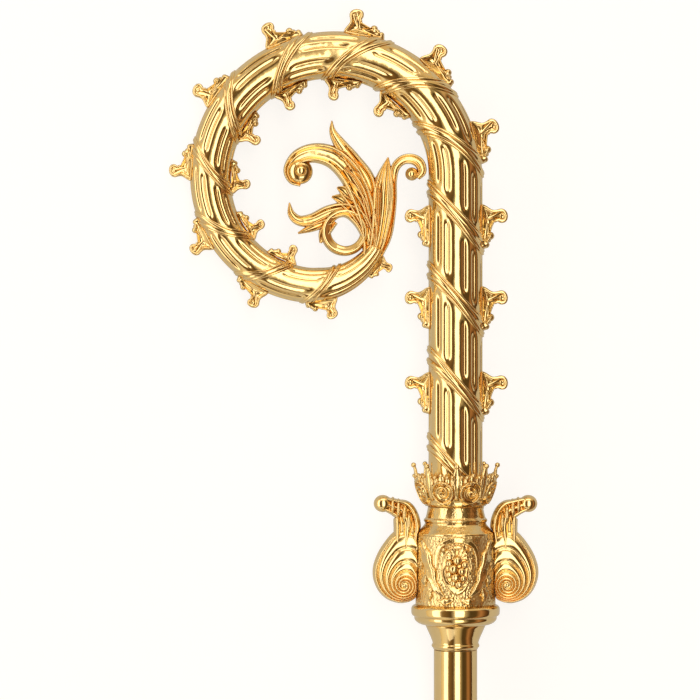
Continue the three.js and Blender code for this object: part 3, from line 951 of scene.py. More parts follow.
@dataclass
class TerminalFoliage:
    """Acanthus foliage at the rod's end, with the bracket that meets the stem."""

    ring_centre: tuple[float, float] = (-66.3, 163.4)
    ring_radius: float = 11.6
    ring_width: float = 5.6
    ring_depth: float = 8.0
    great_leaf: tuple[Blade, ...] = (
        Blade((
            (-55, 141, 7, 9), (-51.5, 152, 9, 11.5), (-52, 168, 12, 12.5), (-56.5, 184.5, 14, 12.5),
            (-63.5, 198.5, 14.5, 11.5), (-73, 207.6, 13.5, 10), (-84, 210.6, 12, 9),
            (-94, 208, 10, 9), (-99.7, 201, 7.2, 8), (-98.2, 194.8, 5.5, 7), (-92.6, 192.4, 4.5, 6),
        ), steps=120),
        Blade((
            (-51, 172, 5, 8), (-54, 186, 7, 11), (-59.5, 196, 6, 12.5), (-66.5, 201.6, 3, 11),
        ), BladeFace.FLUTED, 2),
        Blade((
            (-50, 180, 7, 9), (-53.5, 194, 11, 10.4), (-61.5, 205.5, 10.4, 9.6), (-69, 215.4, 8, 7.6),
            (-73.6, 223.3, 4.5, 5), (-74.2, 230.0, 0.7, 1.2),
        )),
        Blade(((-59, 200.5, 5, 9), (-66, 208, 6, 11), (-73, 212.5, 4, 9)), BladeFace.FLUTED, 2),
    )
    upright_leaf: tuple[Blade, ...] = (
        Blade((
            (-50.5, 146, 7, 9), (-46.5, 158, 11, 11), (-44, 174, 14, 11), (-43.2, 187, 14.5, 10),
            (-42.2, 197, 10, 9), (-40.4, 208.0, 0.9, 2),
        ), BladeFace.FLUTED, steps=90),
        Blade((
            (-48.5, 152, 3, 10), (-46.5, 170, 3.4, 12.5), (-46.4, 186, 3, 12), (-47.6, 196, 1.4, 9),
        ), BladeFace.FLUTED),
        Blade((
            (-46, 149, 5, 8), (-40.2, 162, 5, 9.5), (-37.6, 181, 4.8, 9.5), (-37.4, 194, 4.8, 8.5),
            (-36, 202, 5.6, 8), (-31.6, 206.4, 6, 8), (-26.2, 207.0, 6.4, 8), (-21.8, 204.6, 6.6, 8),
            (-20.1, 199.6, 5.4, 7), (-22.8, 195.6, 3.4, 6),
        ), steps=110),
    )
    shell_fan: tuple[Blade, ...] = (
        Blade(((-52.5, 166, 6, 10), (-57, 180, 9, 11), (-63, 190, 7.4, 9), (-67.2, 194.2, 1.4, 3))),
        Blade(((-53, 165, 6, 11), (-59, 178.5, 9, 11), (-66.2, 187, 7.4, 9), (-71.0, 190, 1.4, 3))),
        Blade(((-54, 165, 6, 11), (-61, 176.8, 9, 10.4), (-68.6, 182.6, 7, 8), (-74.2, 184.4, 1.4, 3))),
    )
    lower_leaf: tuple[Blade, ...] = (
        Blade((
            (-57, 141, 6, 9), (-51.5, 151, 8, 11), (-53, 162.5, 9, 11.4), (-58.5, 172, 10, 10.6),
            (-66.3, 176.4, 9, 9.4), (-76, 174.6, 9.4, 9), (-85.8, 170.5, 8, 8), (-93.6, 170, 6.4, 7),
            (-98.4, 174, 4.8, 6), (-99.7, 180.8, 0.9, 1.5),
        ), steps=120),
        Blade(((-75, 170.8, 7, 8), (-85.8, 166.0, 5.4, 6.4), (-94.5, 162.4, 1.2, 2))),
        Blade(((-73, 170, 6, 8), (-78.6, 162.8, 6.8, 6.6), (-81.1, 156.6, 1.6, 2.4))),
    )
    discs: tuple[tuple[float, float, float, float], ...] = (
        (-93.2, 199.4, 7.6, 4.4), (-26.2, 198.0, 4.0, 3.2),
    )
    balls: tuple[tuple[float, float, float, float], ...] = (
        (-92.6, 199.8, 3.8, 3.0), (-26.4, 197.8, 2.9, 1.9),
    )

    def add_ring(self, skin: Skin) -> None:
        """Add the ring of leaf that stands round the opening.

        Args:
            skin: mesh that gets it.
        """
        turn = np.linspace(0, 2 * math.pi, 72, endpoint=False)[:, None]
        lie = np.linspace(0, 2 * math.pi, 24, endpoint=False)[None, :]
        width = self.ring_width * (1 + 0.16 * np.cos(turn - math.radians(215)))
        radius = self.ring_radius + 0.5 * width * np.cos(lie)
        z = 0.5 * self.ring_depth * np.sin(lie) * (1 - 0.2 * np.cos(3 * lie))
        skin.add_rings(np.stack([
            self.ring_centre[0] + radius * np.cos(turn),
            self.ring_centre[1] + radius * np.sin(turn),
            np.broadcast_to(z, (72, 24)),
        ], -1), joined=True)

    def build(self, cast: bpy.types.Material) -> bpy.types.Object:
        """Build the foliage.

        Args:
            cast: finish of the casting.

        Returns:
            The foliage.
        """
        skin = Skin()
        for blade in (*self.great_leaf, *self.upright_leaf, *self.shell_fan, *self.lower_leaf):
            skin.add_rings(blade.rings())
        self.add_ring(skin)
        for x, y, radius, half in self.discs:
            skin.add_ball((x, y, 0), (radius, radius, half), 36)
        for x, y, radius, lift in self.balls:
            for face in (1, -1):
                skin.add_ball((x, y, face * lift), [radius] * 3, 28)
        return skin.piece(
            "acanthus_foliage_cast", [cast], ["terminal_foliage"]
        )


# ---------------------------------------------------------------- crown collar


@dataclass
class CrownCollar:
    """Ring of palmettes: a rosette in an oval on each, and a curled spike between them."""

    palmettes: int = 8
    foot_y: float = -1.0
    bore: float = 17.4
    foot_radius: float = 18.1
    flare: float = 9.0
    height: float = 26.0
    wall: float = 1.7
    medallion_height: float = 8.4
    medallion_half_width: float = 7.4
    medallion_half_height: float = 7.4
    columns: int = 64
    rows: int = 52

    def radius(self, height: np.ndarray | float) -> np.ndarray:
        """Radius of the wall's outside, without its relief."""
        return self.foot_radius + self.flare * (np.maximum(0, height) / self.height) ** 0.75

    def top(self, cell: np.ndarray) -> np.ndarray:
        """Height of the wall's top edge across a palmette.

        Args:
            cell: places across the palmette, 0 at a spike, 0.5 at the medallion.

        Returns:
            Heights over the foot.
        """
        away = np.minimum(cell, 1 - cell)
        return 13.6 + 2.8 * smooth_step(away, 0.12, 0.42) + 0.8 * np.cos(away * 2 * math.pi * 6)

    def relief(self, cell: np.ndarray, height: np.ndarray) -> np.ndarray:
        """Relief on the wall's outside, in millimetres.

        Args:
            cell: places across the palmette, 0 at a spike, 0.5 at the medallion.
            height: heights over the foot.

        Returns:
            How far each place stands out.
        """
        arc = (cell - 0.5) * 2 * math.pi * 22.5 / self.palmettes
        up = height - self.medallion_height
        oval = np.hypot(arc / self.medallion_half_width, up / self.medallion_half_height)
        turn = np.arctan2(up, arc)
        ring = 2.4 * np.exp(-(((oval - 0.86) / 0.11) ** 4))
        away = np.hypot(arc, up)
        field = 0.7 * (1 - smooth_step(oval, 0.62, 0.74))
        petals = 0.8 * np.exp(-((away / 4.3) ** 6))
        swirl = 0.8 * np.cos(2 * math.pi * (away / 2.9) - turn) * np.exp(-((away / 4.6) ** 6))
        boss = 0.9 * np.exp(-((away / 1.2) ** 2))
        band = 0.9 * np.exp(-(((height - 1.0) / 0.9) ** 2))
        ribs = 0.25 * smooth_step(height, 12.5, 15) * np.cos(cell * 2 * math.pi * 9)
        return ring + field + petals + swirl + boss + band + ribs - 0.8

    def add_wall(self, skin: Skin) -> None:
        """Add the wall with its medallions.

        Args:
            skin: mesh that gets it.
        """
        count = self.palmettes * self.columns
        cell = (np.arange(count) / self.columns) % 1
        turn = 2 * math.pi * np.arange(count) / count
        rise = np.linspace(0, 1, self.rows)[None, :]
        height = self.top(cell)[:, None] * rise
        relief = self.relief(cell[:, None], height) * smooth_step(rise, 0, 0.04)
        outer = self.radius(height) + relief - 0.5 * self.wall * smooth_step(rise, 0.92, 1.0)
        inside = self.top(cell)[:, None] * np.linspace(1, 0, 8)[None, :]
        inner = np.maximum(self.radius(inside) - self.wall, self.bore)
        radius = np.concatenate([outer, inner], 1)
        level = np.concatenate([height, inside], 1)
        skin.add_rings(np.stack([
            radius * np.sin(turn)[:, None], self.foot_y + level, radius * np.cos(turn)[:, None]
        ], -1), joined=True)

    def add_curl(
        self, skin: Skin, turn: float, stations: Sequence[tuple[float, float, float]], ball: float
    ) -> None:
        """Add a leaf tip that stands on the wall and curls outwards.

        Args:
            skin: mesh that gets it.
            turn: its angle round the staff.
            stations: distance off the wall, height and half width along it.
            ball: radius of the ball at its tip.
        """
        route = smooth_row(stations, 16)
        out = np.array([math.sin(turn), 0, math.cos(turn)])
        beside = np.array([math.cos(turn), 0, -math.sin(turn)])
        reach = self.radius(route[:, 1]) + route[:, 0]
        middle = reach[:, None] * out + (self.foot_y + route[:, 1])[:, None] * np.array([0, 1, 0])
        skin.add_rings(sweep(middle, beside, route[:, 2], 0.45 + 0.3 * route[:, 2], 12))
        skin.add_ball(middle[-1], [ball] * 3, 14)

    def build(self, chased: bpy.types.Material) -> bpy.types.Object:
        """Build the crown.

        Args:
            chased: finish of the chased casting.

        Returns:
            The crown.
        """
        skin = Skin()
        self.add_wall(skin)
        cell = 2 * math.pi / self.palmettes
        for number in range(self.palmettes):
            turn = number * cell
            self.add_curl(skin, turn, (
                (-0.2, 4.0, 1.2), (-0.2, 11.0, 2.2), (-1.0, 17.0, 2.7), (-1.8, 21.5, 1.8),
                (-1.5, 24.4, 1.0),
            ), 1.6)
            for share, top, wide in ((0.5, 19.4, 2.2), (0.3, 18.2, 1.7), (0.7, 18.2, 1.7)):
                self.add_curl(skin, turn + share * cell, (
                    (-0.9, 12.0, 0.8), (-0.4, top - 3.6, wide), (-0.6, top - 1.2, wide * 0.8),
                    (0.3, top - 0.4, 0.7),
                ), 1.1)
            for share in (0.14, 0.86):
                self.add_curl(skin, turn + share * cell, (
                    (-0.4, 9.0, 0.5), (0.0, 13.0, 1.3), (-0.4, 16.2, 1.3), (0.2, 18.0, 0.6),
                ), 1.0)
        return skin.piece("crown_of_palmettes", [chased], ["crown_collar"])


# ------------------------------------------------------------------------ knop


@dataclass
class Knop:
    """Turned knop with a stippled drum, a shield of fruit on it, and leafy swags."""

    top_y: float = -1.3
    foot_y: float = -71.8
    drum_top: float = -18.0
    drum_foot: float = -60.0
    drum_top_radius: float = 23.2
    drum_foot_radius: float = 24.0
    shield_y: float = -37.0
    shield_half_width: float = 9.3
    shield_half_height: float = 13.6
    sides: int = 300
    grapes: tuple[tuple[float, float, float], ...] = (
        (-4.4, 3.0, 2.3), (0.2, 4.6, 2.9), (4.4, 2.2, 2.4), (-2.0, -0.2, 3.1), (2.6, -1.6, 2.7),
        (-4.6, -3.6, 2.2), (-0.9, -5.2, 2.8), (3.4, -5.8, 2.2), (-2.2, -8.6, 2.1), (1.0, -9.4, 2.5),
    )

    def outline(self) -> list[tuple[float, float]]:
        """Radius and height down the outside."""
        return [
            (16.5, self.top_y), (17.0, -4.2), (17.9, -7.8), (18.9, -9.0), (19.0, -10.0),
            (18.4, -11.2), (18.7, -12.2), (20.2, -14.0), (21.8, -15.8), (22.9, -17.0),
            (self.drum_top_radius, self.drum_top), (self.drum_foot_radius, self.drum_foot),
            (24.5, -60.3), (25.7, -60.9), (26.5, -62.3), (26.5, -65.0), (26.0, -66.4),
            (24.9, -67.2), (24.5, -69.2), (22.8, -70.9), (20.9, self.foot_y),
        ]

    def on_drum(self, x: np.ndarray, y: np.ndarray, rise: np.ndarray, face: int = 1) -> np.ndarray:
        """Find points on the drum.

        Args:
            x: millimetres round it from the middle of its front or back.
            y: heights.
            rise: millimetres off its surface.
            face: 1 for the front, -1 for the back.

        Returns:
            Points in the staff's axes.
        """
        x, y, rise = np.broadcast_arrays(np.asarray(x, float), y, rise)
        share = (y - self.drum_top) / (self.drum_foot - self.drum_top)
        base = self.drum_top_radius + (self.drum_foot_radius - self.drum_top_radius) * share
        radius = base + rise
        turn = x / 23.6
        return np.stack([radius * np.sin(turn), y, face * radius * np.cos(turn)], -1)

    def add_body(self, skin: Skin) -> None:
        """Add the turned body: chased shoulders, a stippled drum and a mirror-bright foot.

        Args:
            skin: mesh that gets it.
        """
        outline = np.array(self.outline())
        turn = np.linspace(0, 2 * math.pi, self.sides, endpoint=False)
        bands = (outline[:11], outline[10:12], outline[11:])
        for number, band in enumerate(bands):
            steps = 50 if number == 1 else 5 * len(band)
            edge = smooth_row(band, steps) if number != 1 else np.linspace(*band, steps)
            rings = np.stack([
                edge[:, 0:1] * np.sin(turn),
                np.broadcast_to(edge[:, 1:2], (steps, self.sides)),
                edge[:, 0:1] * np.cos(turn),
            ], -1)
            skin.add_rings(rings, finish=number)

    def add_shield(self, skin: Skin, face: int) -> None:
        """Add an oval shield, pointed below, with a raised rim and a dished field.

        Args:
            skin: mesh that gets it.
            face: 1 for the front, -1 for the back.
        """
        turn = np.linspace(0, 2 * math.pi, 72, endpoint=False)
        point = 1 + 0.14 * np.maximum(0, -np.sin(turn)) ** 3
        rings = []
        for share, rise in (
            (1.02, -1.5), (1.02, 0.2), (0.99, 0.9), (0.94, 1.1), (0.88, 0.9), (0.83, 0.45),
            (0.4, 0.35), (0.02, 0.35),
        ):
            x = self.shield_half_width * share * np.cos(turn)
            y = self.shield_y + self.shield_half_height * share * point * np.sin(turn)
            rings.append(self.on_drum(x, y, rise, face))
        skin.add_rings(np.array(rings))

    def add_leaf(
        self, skin: Skin, stations: Sequence[tuple[float, float, float]], rise: float = 1.2,
        face: int = 1, lobes: float = 0.0,
    ) -> None:
        """Add a leaf or ribbon that lies on the drum.

        Args:
            skin: mesh that gets it.
            stations: x round the drum, y and width along its middle.
            rise: how far it stands off the drum.
            face: 1 for the front, -1 for the back.
            lobes: how many times its edge swells.
        """
        steps = 30
        route = smooth_row(stations, steps)
        along = np.gradient(route[:, :2], axis=0)
        along /= np.linalg.norm(along, axis=1)[:, None]
        share = np.linspace(0, 1, steps)[:, None]
        lie = np.linspace(0, 2 * math.pi, 16, endpoint=False)
        width = route[:, 2:3] * (1 + 0.16 * np.sin(2 * math.pi * lobes * share))
        across = np.cos(lie) * width / 2
        crease = 1 - 0.5 * np.exp(-((np.cos(lie) / 0.22) ** 2))
        fade = np.sin(0.1 + share * (math.pi - 0.2)) ** 0.5
        up = rise * np.sin(lie) * crease * fade * (1 + 0.12 * np.sin(2 * math.pi * lobes * share))
        x = route[:, 0:1] - along[:, 1:2] * across
        y = route[:, 1:2] + along[:, 0:1] * across
        skin.add_rings(self.on_drum(x, y, up, face))

    def add_fruit(self, skin: Skin) -> None:
        """Add the bunch of grapes under its vine leaves, on the front shield.

        Args:
            skin: mesh that gets it.
        """
        for x, y, radius in self.grapes:
            skin.add_ball(self.on_drum(x, self.shield_y + y, 0.9), [radius] * 3, 16)
        for side in (-1, 1):
            for tip_x, tip_y, width in ((7.6, -25.6, 3.6), (8.6, -30.2, 3.4), (3.4, -23.2, 3.4)):
                self.add_leaf(skin, [
                    (side * 1.0, -31.0, 1.4), (side * (1 + tip_x) / 2, (tip_y - 30.6) / 2, width),
                    (side * tip_x, tip_y, 1.0),
                ], 2.3, lobes=2)
            self.add_leaf(skin, [
                (side * 3.0, -48.0, 1.2), (side * 6.4, -44.0, 3.0), (side * 7.4, -38.4, 2.6),
                (side * 6.2, -34.6, 0.9),
            ], 1.9, lobes=2)
            skin.add_ball(self.on_drum(side * 7.8, -25.8, 1.2), [1.3] * 3, 12)

    def add_swags(self, skin: Skin, face: int) -> None:
        """Add the arch over the shield and the leafy swags beside it.

        Args:
            skin: mesh that gets them.
            face: 1 for the front, -1 for the back.
        """
        self.add_leaf(skin, [
            (-13.0, -38.0, 1.8), (-12.4, -29.0, 3.4), (-8.8, -22.8, 3.8), (0, -20.2, 4.0),
            (8.8, -22.8, 3.8), (12.4, -29.0, 3.4), (13.0, -38.0, 1.8),
        ], 1.5, face)
        for side in (-1, 1):
            self.add_leaf(skin, [
                (side * 27.0, -21.0, 4.0), (side * 21.5, -29.0, 8.0), (side * 17.0, -38.5, 7.4),
                (side * 13.4, -47.5, 5.4), (side * 7.5, -54.2, 2.0),
            ], 2.4, face, 4)
            for x, y, lean in ((23.0, -33.0, 1), (19.0, -42.5, 1), (15.6, -51.0, 0.8)):
                self.add_leaf(skin, [
                    (side * x, y + 2.5, 1.0), (side * (x + 2.4 * lean), y - 1.6, 5.0),
                    (side * (x + 2.0 * lean), y - 6.0, 0.9),
                ], 2.0, face, 2)
            self.add_leaf(skin, [
                (side * 1.6, -54.6, 1.2), (side * 6.0, -56.6, 4.2), (side * 12.0, -56.0, 1.0),
            ], 1.8, face, 2)

    def build(
        self, chased: bpy.types.Material, stippled: bpy.types.Material, turned: bpy.types.Material
    ) -> bpy.types.Object:
        """Build the knop.

        Args:
            chased: finish of the relief.
            stippled: finish of the drum's ground.
            turned: finish of the mirror-bright mouldings.

        Returns:
            The knop.
        """
        skin = Skin()
        self.add_body(skin)
        for face in (1, -1):
            self.add_shield(skin, face)
            self.add_swags(skin, face)
        self.add_fruit(skin)
        return skin.piece("chased_knop", [chased, stippled, turned], ["knop"])


# ---------------------------------------------------------------- side scrolls


@dataclass
class SideScrolls:
    """Pair of scrolls on the knop, ridged round their eyes, with knobbed necks."""

    eye: tuple[float, float] = (30.7, -48.3)
    half_depth: float = 8.0
    ridges: float = 6.0
    twist: float = 2.0
    round_reach: float = 15.0
    gap: float = 0.3
    contour: tuple[tuple[float, float], ...] = (
        (-190, 8.5), (-127, 10.6), (-94, 10.9), (-57, 12.3), (-27, 14.7), (0, 17.5), (22, 20.6),
        (45, 23.8), (65, 27.9), (77, 32), (84, 34), (95, 34), (104, 33), (112, 30), (125, 22),
        (150, 12), (180, 8.5),
    )
    neck: Blade = Blade((
        (30.5, -34, 9, 8), (29.6, -22, 15, 13), (29.0, -12.5, 16.5, 14), (31.0, -5, 14.5, 12.5),
        (35.5, -2.2, 11, 11), (42.5, 0.2, 8.4, 9.2),
    ), BladeFace.FLUTED, steps=60)
    folds: tuple[tuple[float, float, float, float], ...] = (
        (37.6, -1.4, 1.9, 5.8), (34.2, -3.0, 2.2, 6.4), (30.6, -6.2, 2.4, 7.2), (28.0, -11.0, 2.4, 7.7),
    )

    def body(self) -> np.ndarray:
        """Rings of the ridged body from its front eye, over the edge, to its back eye.

        Returns:
            Rows by sides by x, y, z.
        """
        angle = np.linspace(-180, 180, 144, endpoint=False)
        corners = np.array(self.contour)
        reach = np.interp(angle, corners[:, 0], corners[:, 1])
        kernel = np.ones(7) / 7
        reach = np.convolve(np.concatenate([reach[-3:], reach, reach[:3]]), kernel, "valid")
        share = np.linspace(0.02, 1, 110)[:, None]
        winding = ((90 - angle) % 360) / 360
        spiral = self.ridges * share ** 0.85 * 1.25 + self.twist * winding
        crest = np.abs(np.sin(math.pi * spiral)) ** 0.6
        dome = 0.56 + 0.44 * (1 - share**2.4)
        eye = 0.3 * np.exp(-((share / 0.12) ** 2))
        ridge = 0.2 * crest * smooth_step(share, 0.06, 0.2) * (1 - smooth_step(share, 0.9, 0.99))
        depth = self.half_depth * (dome - 0.2 + ridge + 0.5 * eye)
        depth = depth * np.sqrt(np.clip((1.0 - share) / 0.07, 0, 1)) ** 0.8
        spread = smooth_step(share, 0.3, 1.0)
        away = share * (self.round_reach * (1 - spread) + reach * spread)
        x = self.eye[0] + away * np.cos(np.radians(angle))
        y = self.eye[1] + away * np.sin(np.radians(angle))
        front = np.stack([x, y, depth], -1)
        back = np.stack([x, y, -depth], -1)[::-1]
        return np.concatenate([front, back[1:]])

    def clear_of_knop(self, rings: np.ndarray, knop: Knop) -> np.ndarray:
        """Press points that would lie inside the knop out to its surface.

        Args:
            rings: points of the scroll.
            knop: the knop it sits against.

        Returns:
            The points, moved.
        """
        outline = np.array(knop.outline())[::-1]
        wall = np.interp(rings[..., 1], outline[:, 1], outline[:, 0]) + self.gap
        short = np.hypot(rings[..., 0], rings[..., 2]) < wall
        moved = rings.copy()
        reach = np.sqrt(np.maximum(wall**2 - rings[..., 2] ** 2, 0))
        moved[..., 0] = np.where(short, reach, rings[..., 0])
        return moved

    def build(self, cast: bpy.types.Material, knop: Knop) -> list[bpy.types.Object]:
        """Build both scrolls, the left one mirrored.

        Args:
            cast: finish of the casting.
            knop: the knop they sit against.

        Returns:
            The right scroll and the left one.
        """
        made = []
        for side, word in ((1, "right"), (-1, "left")):
            mirror = np.array([side, 1, 1])
            skin = Skin()
            for rings in (self.body(), self.neck.rings()):
                skin.add_rings(self.clear_of_knop(rings, knop) * mirror)
            for x, y, thick, radius in self.folds:
                skin.add_ball(np.array([x, y, 0]) * mirror, [thick, radius, radius], 28)
            skin.add_ball(np.array([43.6, 0.3, 0]) * mirror, [5.5, 5.2, 5.3], 32)
            made.append(skin.piece(
                f"{word}_scroll_cast", [cast], [f"{word}_side_scroll"]
            ))
        return made


# ----------------------------------------------------------------------- staff


@dataclass
class Staff:
    """Turned parts below the knop: socket cone, tubes, screw collars and ferrule."""

    total_length: float = 1800.0
    crook_top: float = 295.0
    ferrule_length: float = 62.0
    collar_length: float = 26.0
    collar_radius: float = 15.2
    gap: float = 0.3
    sides: int = 96

    def turned(
        self, name: str, node: str, outline: Sequence[tuple[float, float]],
        finish: bpy.types.Material,
    ) -> bpy.types.Object:
        """Turn one part about the staff's axis.

        Args:
            name: the piece's name.
            node: the solid it stands for.
            outline: radius and height down the outside.
            finish: its finish.

        Returns:
            The part.
        """
        turn = np.linspace(0, 2 * math.pi, self.sides, endpoint=False)
        edge = np.array(outline)
        inner = np.array([[edge[0, 0] * 0.97, edge[0, 1]]])
        last = np.array([[edge[-1, 0] * 0.97, edge[-1, 1]]])
        edge = np.vstack([inner, edge, last])
        rings = np.stack([
            edge[:, 0:1] * np.sin(turn),
            np.broadcast_to(edge[:, 1:2], (len(edge), self.sides)),
            edge[:, 0:1] * np.cos(turn),
        ], -1)
        skin = Skin()
        skin.add_rings(rings)
        obj = skin.piece(name, [finish], [node])
        bevel = obj.modifiers.new("soft_edges", "BEVEL")
        bevel.width, bevel.segments, bevel.limit_method = 0.25 * MM, 2, "ANGLE"
        return obj

    def build(self, turned: bpy.types.Material) -> list[bpy.types.Object]:
        """Build the cone, tubes, collars and ferrule.

        Args:
            turned: finish of turned brass.

        Returns:
            The parts, from the knop down.
        """
        foot = self.crook_top - self.total_length
        ferrule_top = foot + self.ferrule_length
        step = (STAFF_TOP_Y - ferrule_top) / 3
        half = self.collar_length / 2
        wide = self.collar_radius
        made = [self.turned("socket_cone_turned", "socket_cone", [
            (18.3, -72.1), (17.6, -73.6), (16.4, -76.4), (15.0, -79.4), (13.9, -82.4), (13.7, -83.4),
            (14.2, -84.1), (14.4, -84.8), (14.2, -85.5), (13.4, -86.2), (13.3, -87.0),
        ], turned)]
        top = STAFF_TOP_Y
        for number in (1, 2, 3):
            joint = STAFF_TOP_Y - number * step
            end = joint + half + self.gap if number < 3 else ferrule_top + self.gap
            made.append(self.turned(
                f"tube_{number}", f"staff_section_{number}",
                [(STAFF_RADIUS, y) for y in np.linspace(top, end, 12)], turned,
            ))
            if number < 3:
                made.append(self.turned(f"collar_{number}", f"screw_collar_{number}", [
                    (13.3, joint + half), (wide, joint + half - 2), (wide - 0.2, joint + half - 3.4),
                    (wide - 1.1, joint + half - 5), (wide - 1.1, joint - half + 5),
                    (wide - 0.2, joint - half + 3.4), (wide, joint - half + 2), (13.3, joint - half),
                ], turned))
                top = joint - half - self.gap
        made.append(self.turned("ferrule_turned", "foot_ferrule", [
            (14, ferrule_top), (14.9, ferrule_top - 2), (15, ferrule_top - 3), (14.9, ferrule_top - 4),
            (14, ferrule_top - 6), (14, foot + 14), (15, foot + 11), (15.1, foot + 9),
            (14.6, foot + 4), (13.2, foot + 1.6), (11, foot),
        ], turned))
        return made


# ---------------------------------------------------------------------- studio


@dataclass(frozen=True)
class SoftBox:
    """One soft box: its middle from the crook in metres, two sides, glow and colour."""

    name: str
    place: tuple[float, float, float]
    size: tuple[float, float]
    glow: float
    colour: str = "#FFFBF4"

    def watts(self) -> float:
        """Power that gives the box its glow."""
        return self.glow * math.pi * self.size[0] * self.size[1]


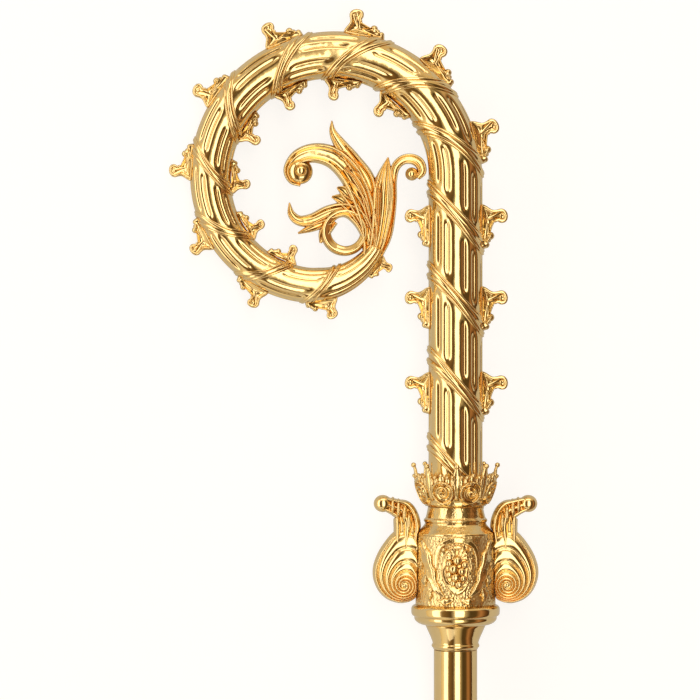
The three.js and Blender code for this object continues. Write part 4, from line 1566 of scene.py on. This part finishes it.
@dataclass
class Studio:
    """Pale lit floor, soft boxes and the camera over the crook."""

    view_centre: tuple[float, float] = (-63.3, 92.4)
    view_width: float = 420.0
    distance: float = 1700.0
    sensor: float = 36.0
    floor_size: float = 12.0
    floor_glow: float = 0.82
    floor_glow_on_metal: float = 0.36
    boxes: tuple[SoftBox, ...] = (
        SoftBox("top_box", (0.14, 0.1, 2.3), (1.0, 3.4), 1.9),
        SoftBox("left_box", (-1.93, 0.2, 1.15), (0.9, 3.6), 1.5),
        SoftBox("head_box", (-0.1, 2.2, 1.3), (2.2, 0.9), 1.5, "#FFF6F0"),
        SoftBox("foot_box", (-0.7, -2.5, 1.3), (1.6, 0.7), 0.8),
    )
    # Degrees across the staff from straight overhead, and the wall's colour there.
    walls: tuple[tuple[float, str], ...] = (
        (-100, "#D8B478"), (-80, "#F6E6C4"), (-60, "#FAF0DC"), (-42, "#8A6C42"), (-20, "#5A4628"),
        (-8, "#E6D6B6"), (12, "#D8C49C"), (30, "#54442A"), (48, "#5A462A"), (62, "#B48258"),
        (78, "#6A4A2C"), (92, "#3A2C1A"), (110, "#B08A50"),
    )

    def add_floor(self) -> None:
        """Lay a plain pale floor just under the crosier, softly lit from below."""
        half = self.floor_size / 2
        mesh = bpy.data.meshes.new("floor")
        mesh.from_pydata(
            [(-half, -half, 0), (half, -half, 0), (half, half, 0), (-half, half, 0)], [],
            [(0, 1, 2, 3)],
        )
        floor = bpy.data.objects.new("floor", mesh)
        bpy.context.scene.collection.objects.link(floor)
        floor.location.z = CAD_BOX[0].z - 0.2 * MM
        opal = bpy.data.materials.new("opal_acrylic_light_table")
        opal.use_nodes = True
        tree = opal.node_tree
        shader = tree.nodes["Principled BSDF"]
        shader.inputs["Roughness"].default_value = 0.85
        shader.inputs["Emission Color"].default_value = linear("#FFFEFC")
        paths = add_node(tree, "ShaderNodeLightPath")
        glow = add_node(
            tree, "ShaderNodeMapRange",
            {"To Min": self.floor_glow_on_metal, "To Max": self.floor_glow},
            {"Value": paths.outputs["Is Camera Ray"]},
        )
        tree.links.new(glow.outputs["Result"], shader.inputs["Emission Strength"])
        places = add_node(tree, "ShaderNodeTexCoord").outputs["Object"]
        grain = add_node(tree, "ShaderNodeTexNoise", {"Scale": 400.0}, {"Vector": places})
        tone = add_node(
            tree, "ShaderNodeMix",
            {"data_type": "RGBA", 6: linear("#8A8886"), 7: linear("#908E8C")},
            {0: grain.outputs["Fac"]},
        )
        tree.links.new(tone.outputs[2], shader.inputs["Base Color"])
        mesh.materials.append(opal)

    def add_lights(self) -> None:
        """Hang the soft boxes, facing the crook."""
        aim = LAID @ Vector((-0.03, 0.1, 0.0))
        for box in self.boxes:
            data = bpy.data.lights.new(box.name, "AREA")
            data.shape = "RECTANGLE"
            data.size, data.size_y = box.size
            data.energy = box.watts()
            data.color = linear(box.colour)[:3]
            light = bpy.data.objects.new(box.name, data)
            bpy.context.scene.collection.objects.link(light)
            light.location = aim + Vector(box.place)
            light.rotation_mode = "QUATERNION"
            light.rotation_quaternion = self.facing(Vector(box.place))

    def facing(self, place: Vector) -> Quaternion:
        """Turn a box to the crook with its long side level.

        Args:
            place: the box's middle, from the crook.

        Returns:
            The rotation.
        """
        back = place.normalized()
        up = Vector((0, 1, 0)) if abs(back.y) < 0.7 else Vector((0, 0, 1))
        right = up.cross(back).normalized()
        return Matrix((right, back.cross(right), back)).transposed().to_quaternion()

    def add_room(self) -> None:
        """Shade the room's walls by their angle across the staff, with a pale backdrop."""
        world = bpy.data.worlds.new("studio_room")
        bpy.context.scene.world = world
        world.use_nodes = True
        tree = world.node_tree
        tree.nodes.clear()
        way = add_node(
            tree, "ShaderNodeSeparateXYZ",
            links={0: add_node(tree, "ShaderNodeTexCoord").outputs["Generated"]},
        )
        angle = add_node(
            tree, "ShaderNodeMath", {"operation": "ARCTAN2"},
            {0: way.outputs["X"], 1: way.outputs["Z"]},
        )
        share = add_node(
            tree, "ShaderNodeMapRange", {"From Min": -math.pi, "From Max": math.pi},
            {"Value": angle.outputs[0]},
        )
        ramp = add_node(tree, "ShaderNodeValToRGB", links={"Fac": share.outputs["Result"]})
        stops = ramp.color_ramp.elements
        stops.remove(stops[1])
        for number, (degrees, colour) in enumerate(self.walls):
            place = 0.5 + degrees / 360
            stop = stops[0] if number == 0 else stops.new(place)
            stop.position, stop.color = place, linear(colour)
        ends = add_node(
            tree, "ShaderNodeMapRange",
            {"interpolation_type": "SMOOTHSTEP", "From Min": 0.45, "From Max": 0.75},
            {"Value": way.outputs["Y"]},
        )
        headed = add_node(
            tree, "ShaderNodeMix", {"data_type": "RGBA", 7: linear("#DCC49C")},
            {0: ends.outputs["Result"], 6: ramp.outputs["Color"]},
        )
        paths = add_node(tree, "ShaderNodeLightPath")
        walls = add_node(tree, "ShaderNodeBackground", links={"Color": headed.outputs[2]})
        sweep_paper = add_node(tree, "ShaderNodeBackground", {"Color": linear("#F8F8F8")})
        either = add_node(
            tree, "ShaderNodeMixShader",
            links={
                0: paths.outputs["Is Camera Ray"],
                1: walls.outputs[0],
                2: sweep_paper.outputs[0],
            },
        )
        add_node(tree, "ShaderNodeOutputWorld", links={"Surface": either.outputs[0]})

    def add_camera(self) -> None:
        """Set the camera square over the crook's plane."""
        data = bpy.data.cameras.new("camera")
        data.sensor_width = self.sensor
        data.lens = self.sensor * self.distance / self.view_width
        data.clip_start, data.clip_end = 0.05, 60.0
        camera = bpy.data.objects.new("camera", data)
        bpy.context.scene.collection.objects.link(camera)
        centre = Vector((*self.view_centre, self.distance)) * MM
        camera.matrix_world = LAID @ Matrix.Translation(centre)
        bpy.context.scene.camera = camera

    def build(self) -> None:
        """Set up floor, lights, room, camera and the plain display of colours."""
        self.add_floor()
        self.add_lights()
        self.add_room()
        self.add_camera()
        scene = bpy.context.scene
        scene.view_settings.view_transform = "Standard"
        scene.view_settings.look = "None"


def main() -> None:
    """Build the crosier's sub-assemblies in order, then the studio."""
    logging.basicConfig(level=logging.INFO, format="%(name)s: %(message)s")
    cast = CAST_PLATE.material()
    turned = TURNED_PLATE.material()
    chased = CHASED_PLATE.material()
    stippled = STIPPLED_PLATE.material()
    CrookRod().build(cast)
    LeafBuds().build(cast)
    TerminalFoliage().build(cast)
    CrownCollar().build(chased)
    knop = Knop()
    knop.build(chased, stippled, turned)
    SideScrolls().build(cast, knop)
    Staff().build(turned)
    Studio().build()


if __name__ == "__main__":
    main()
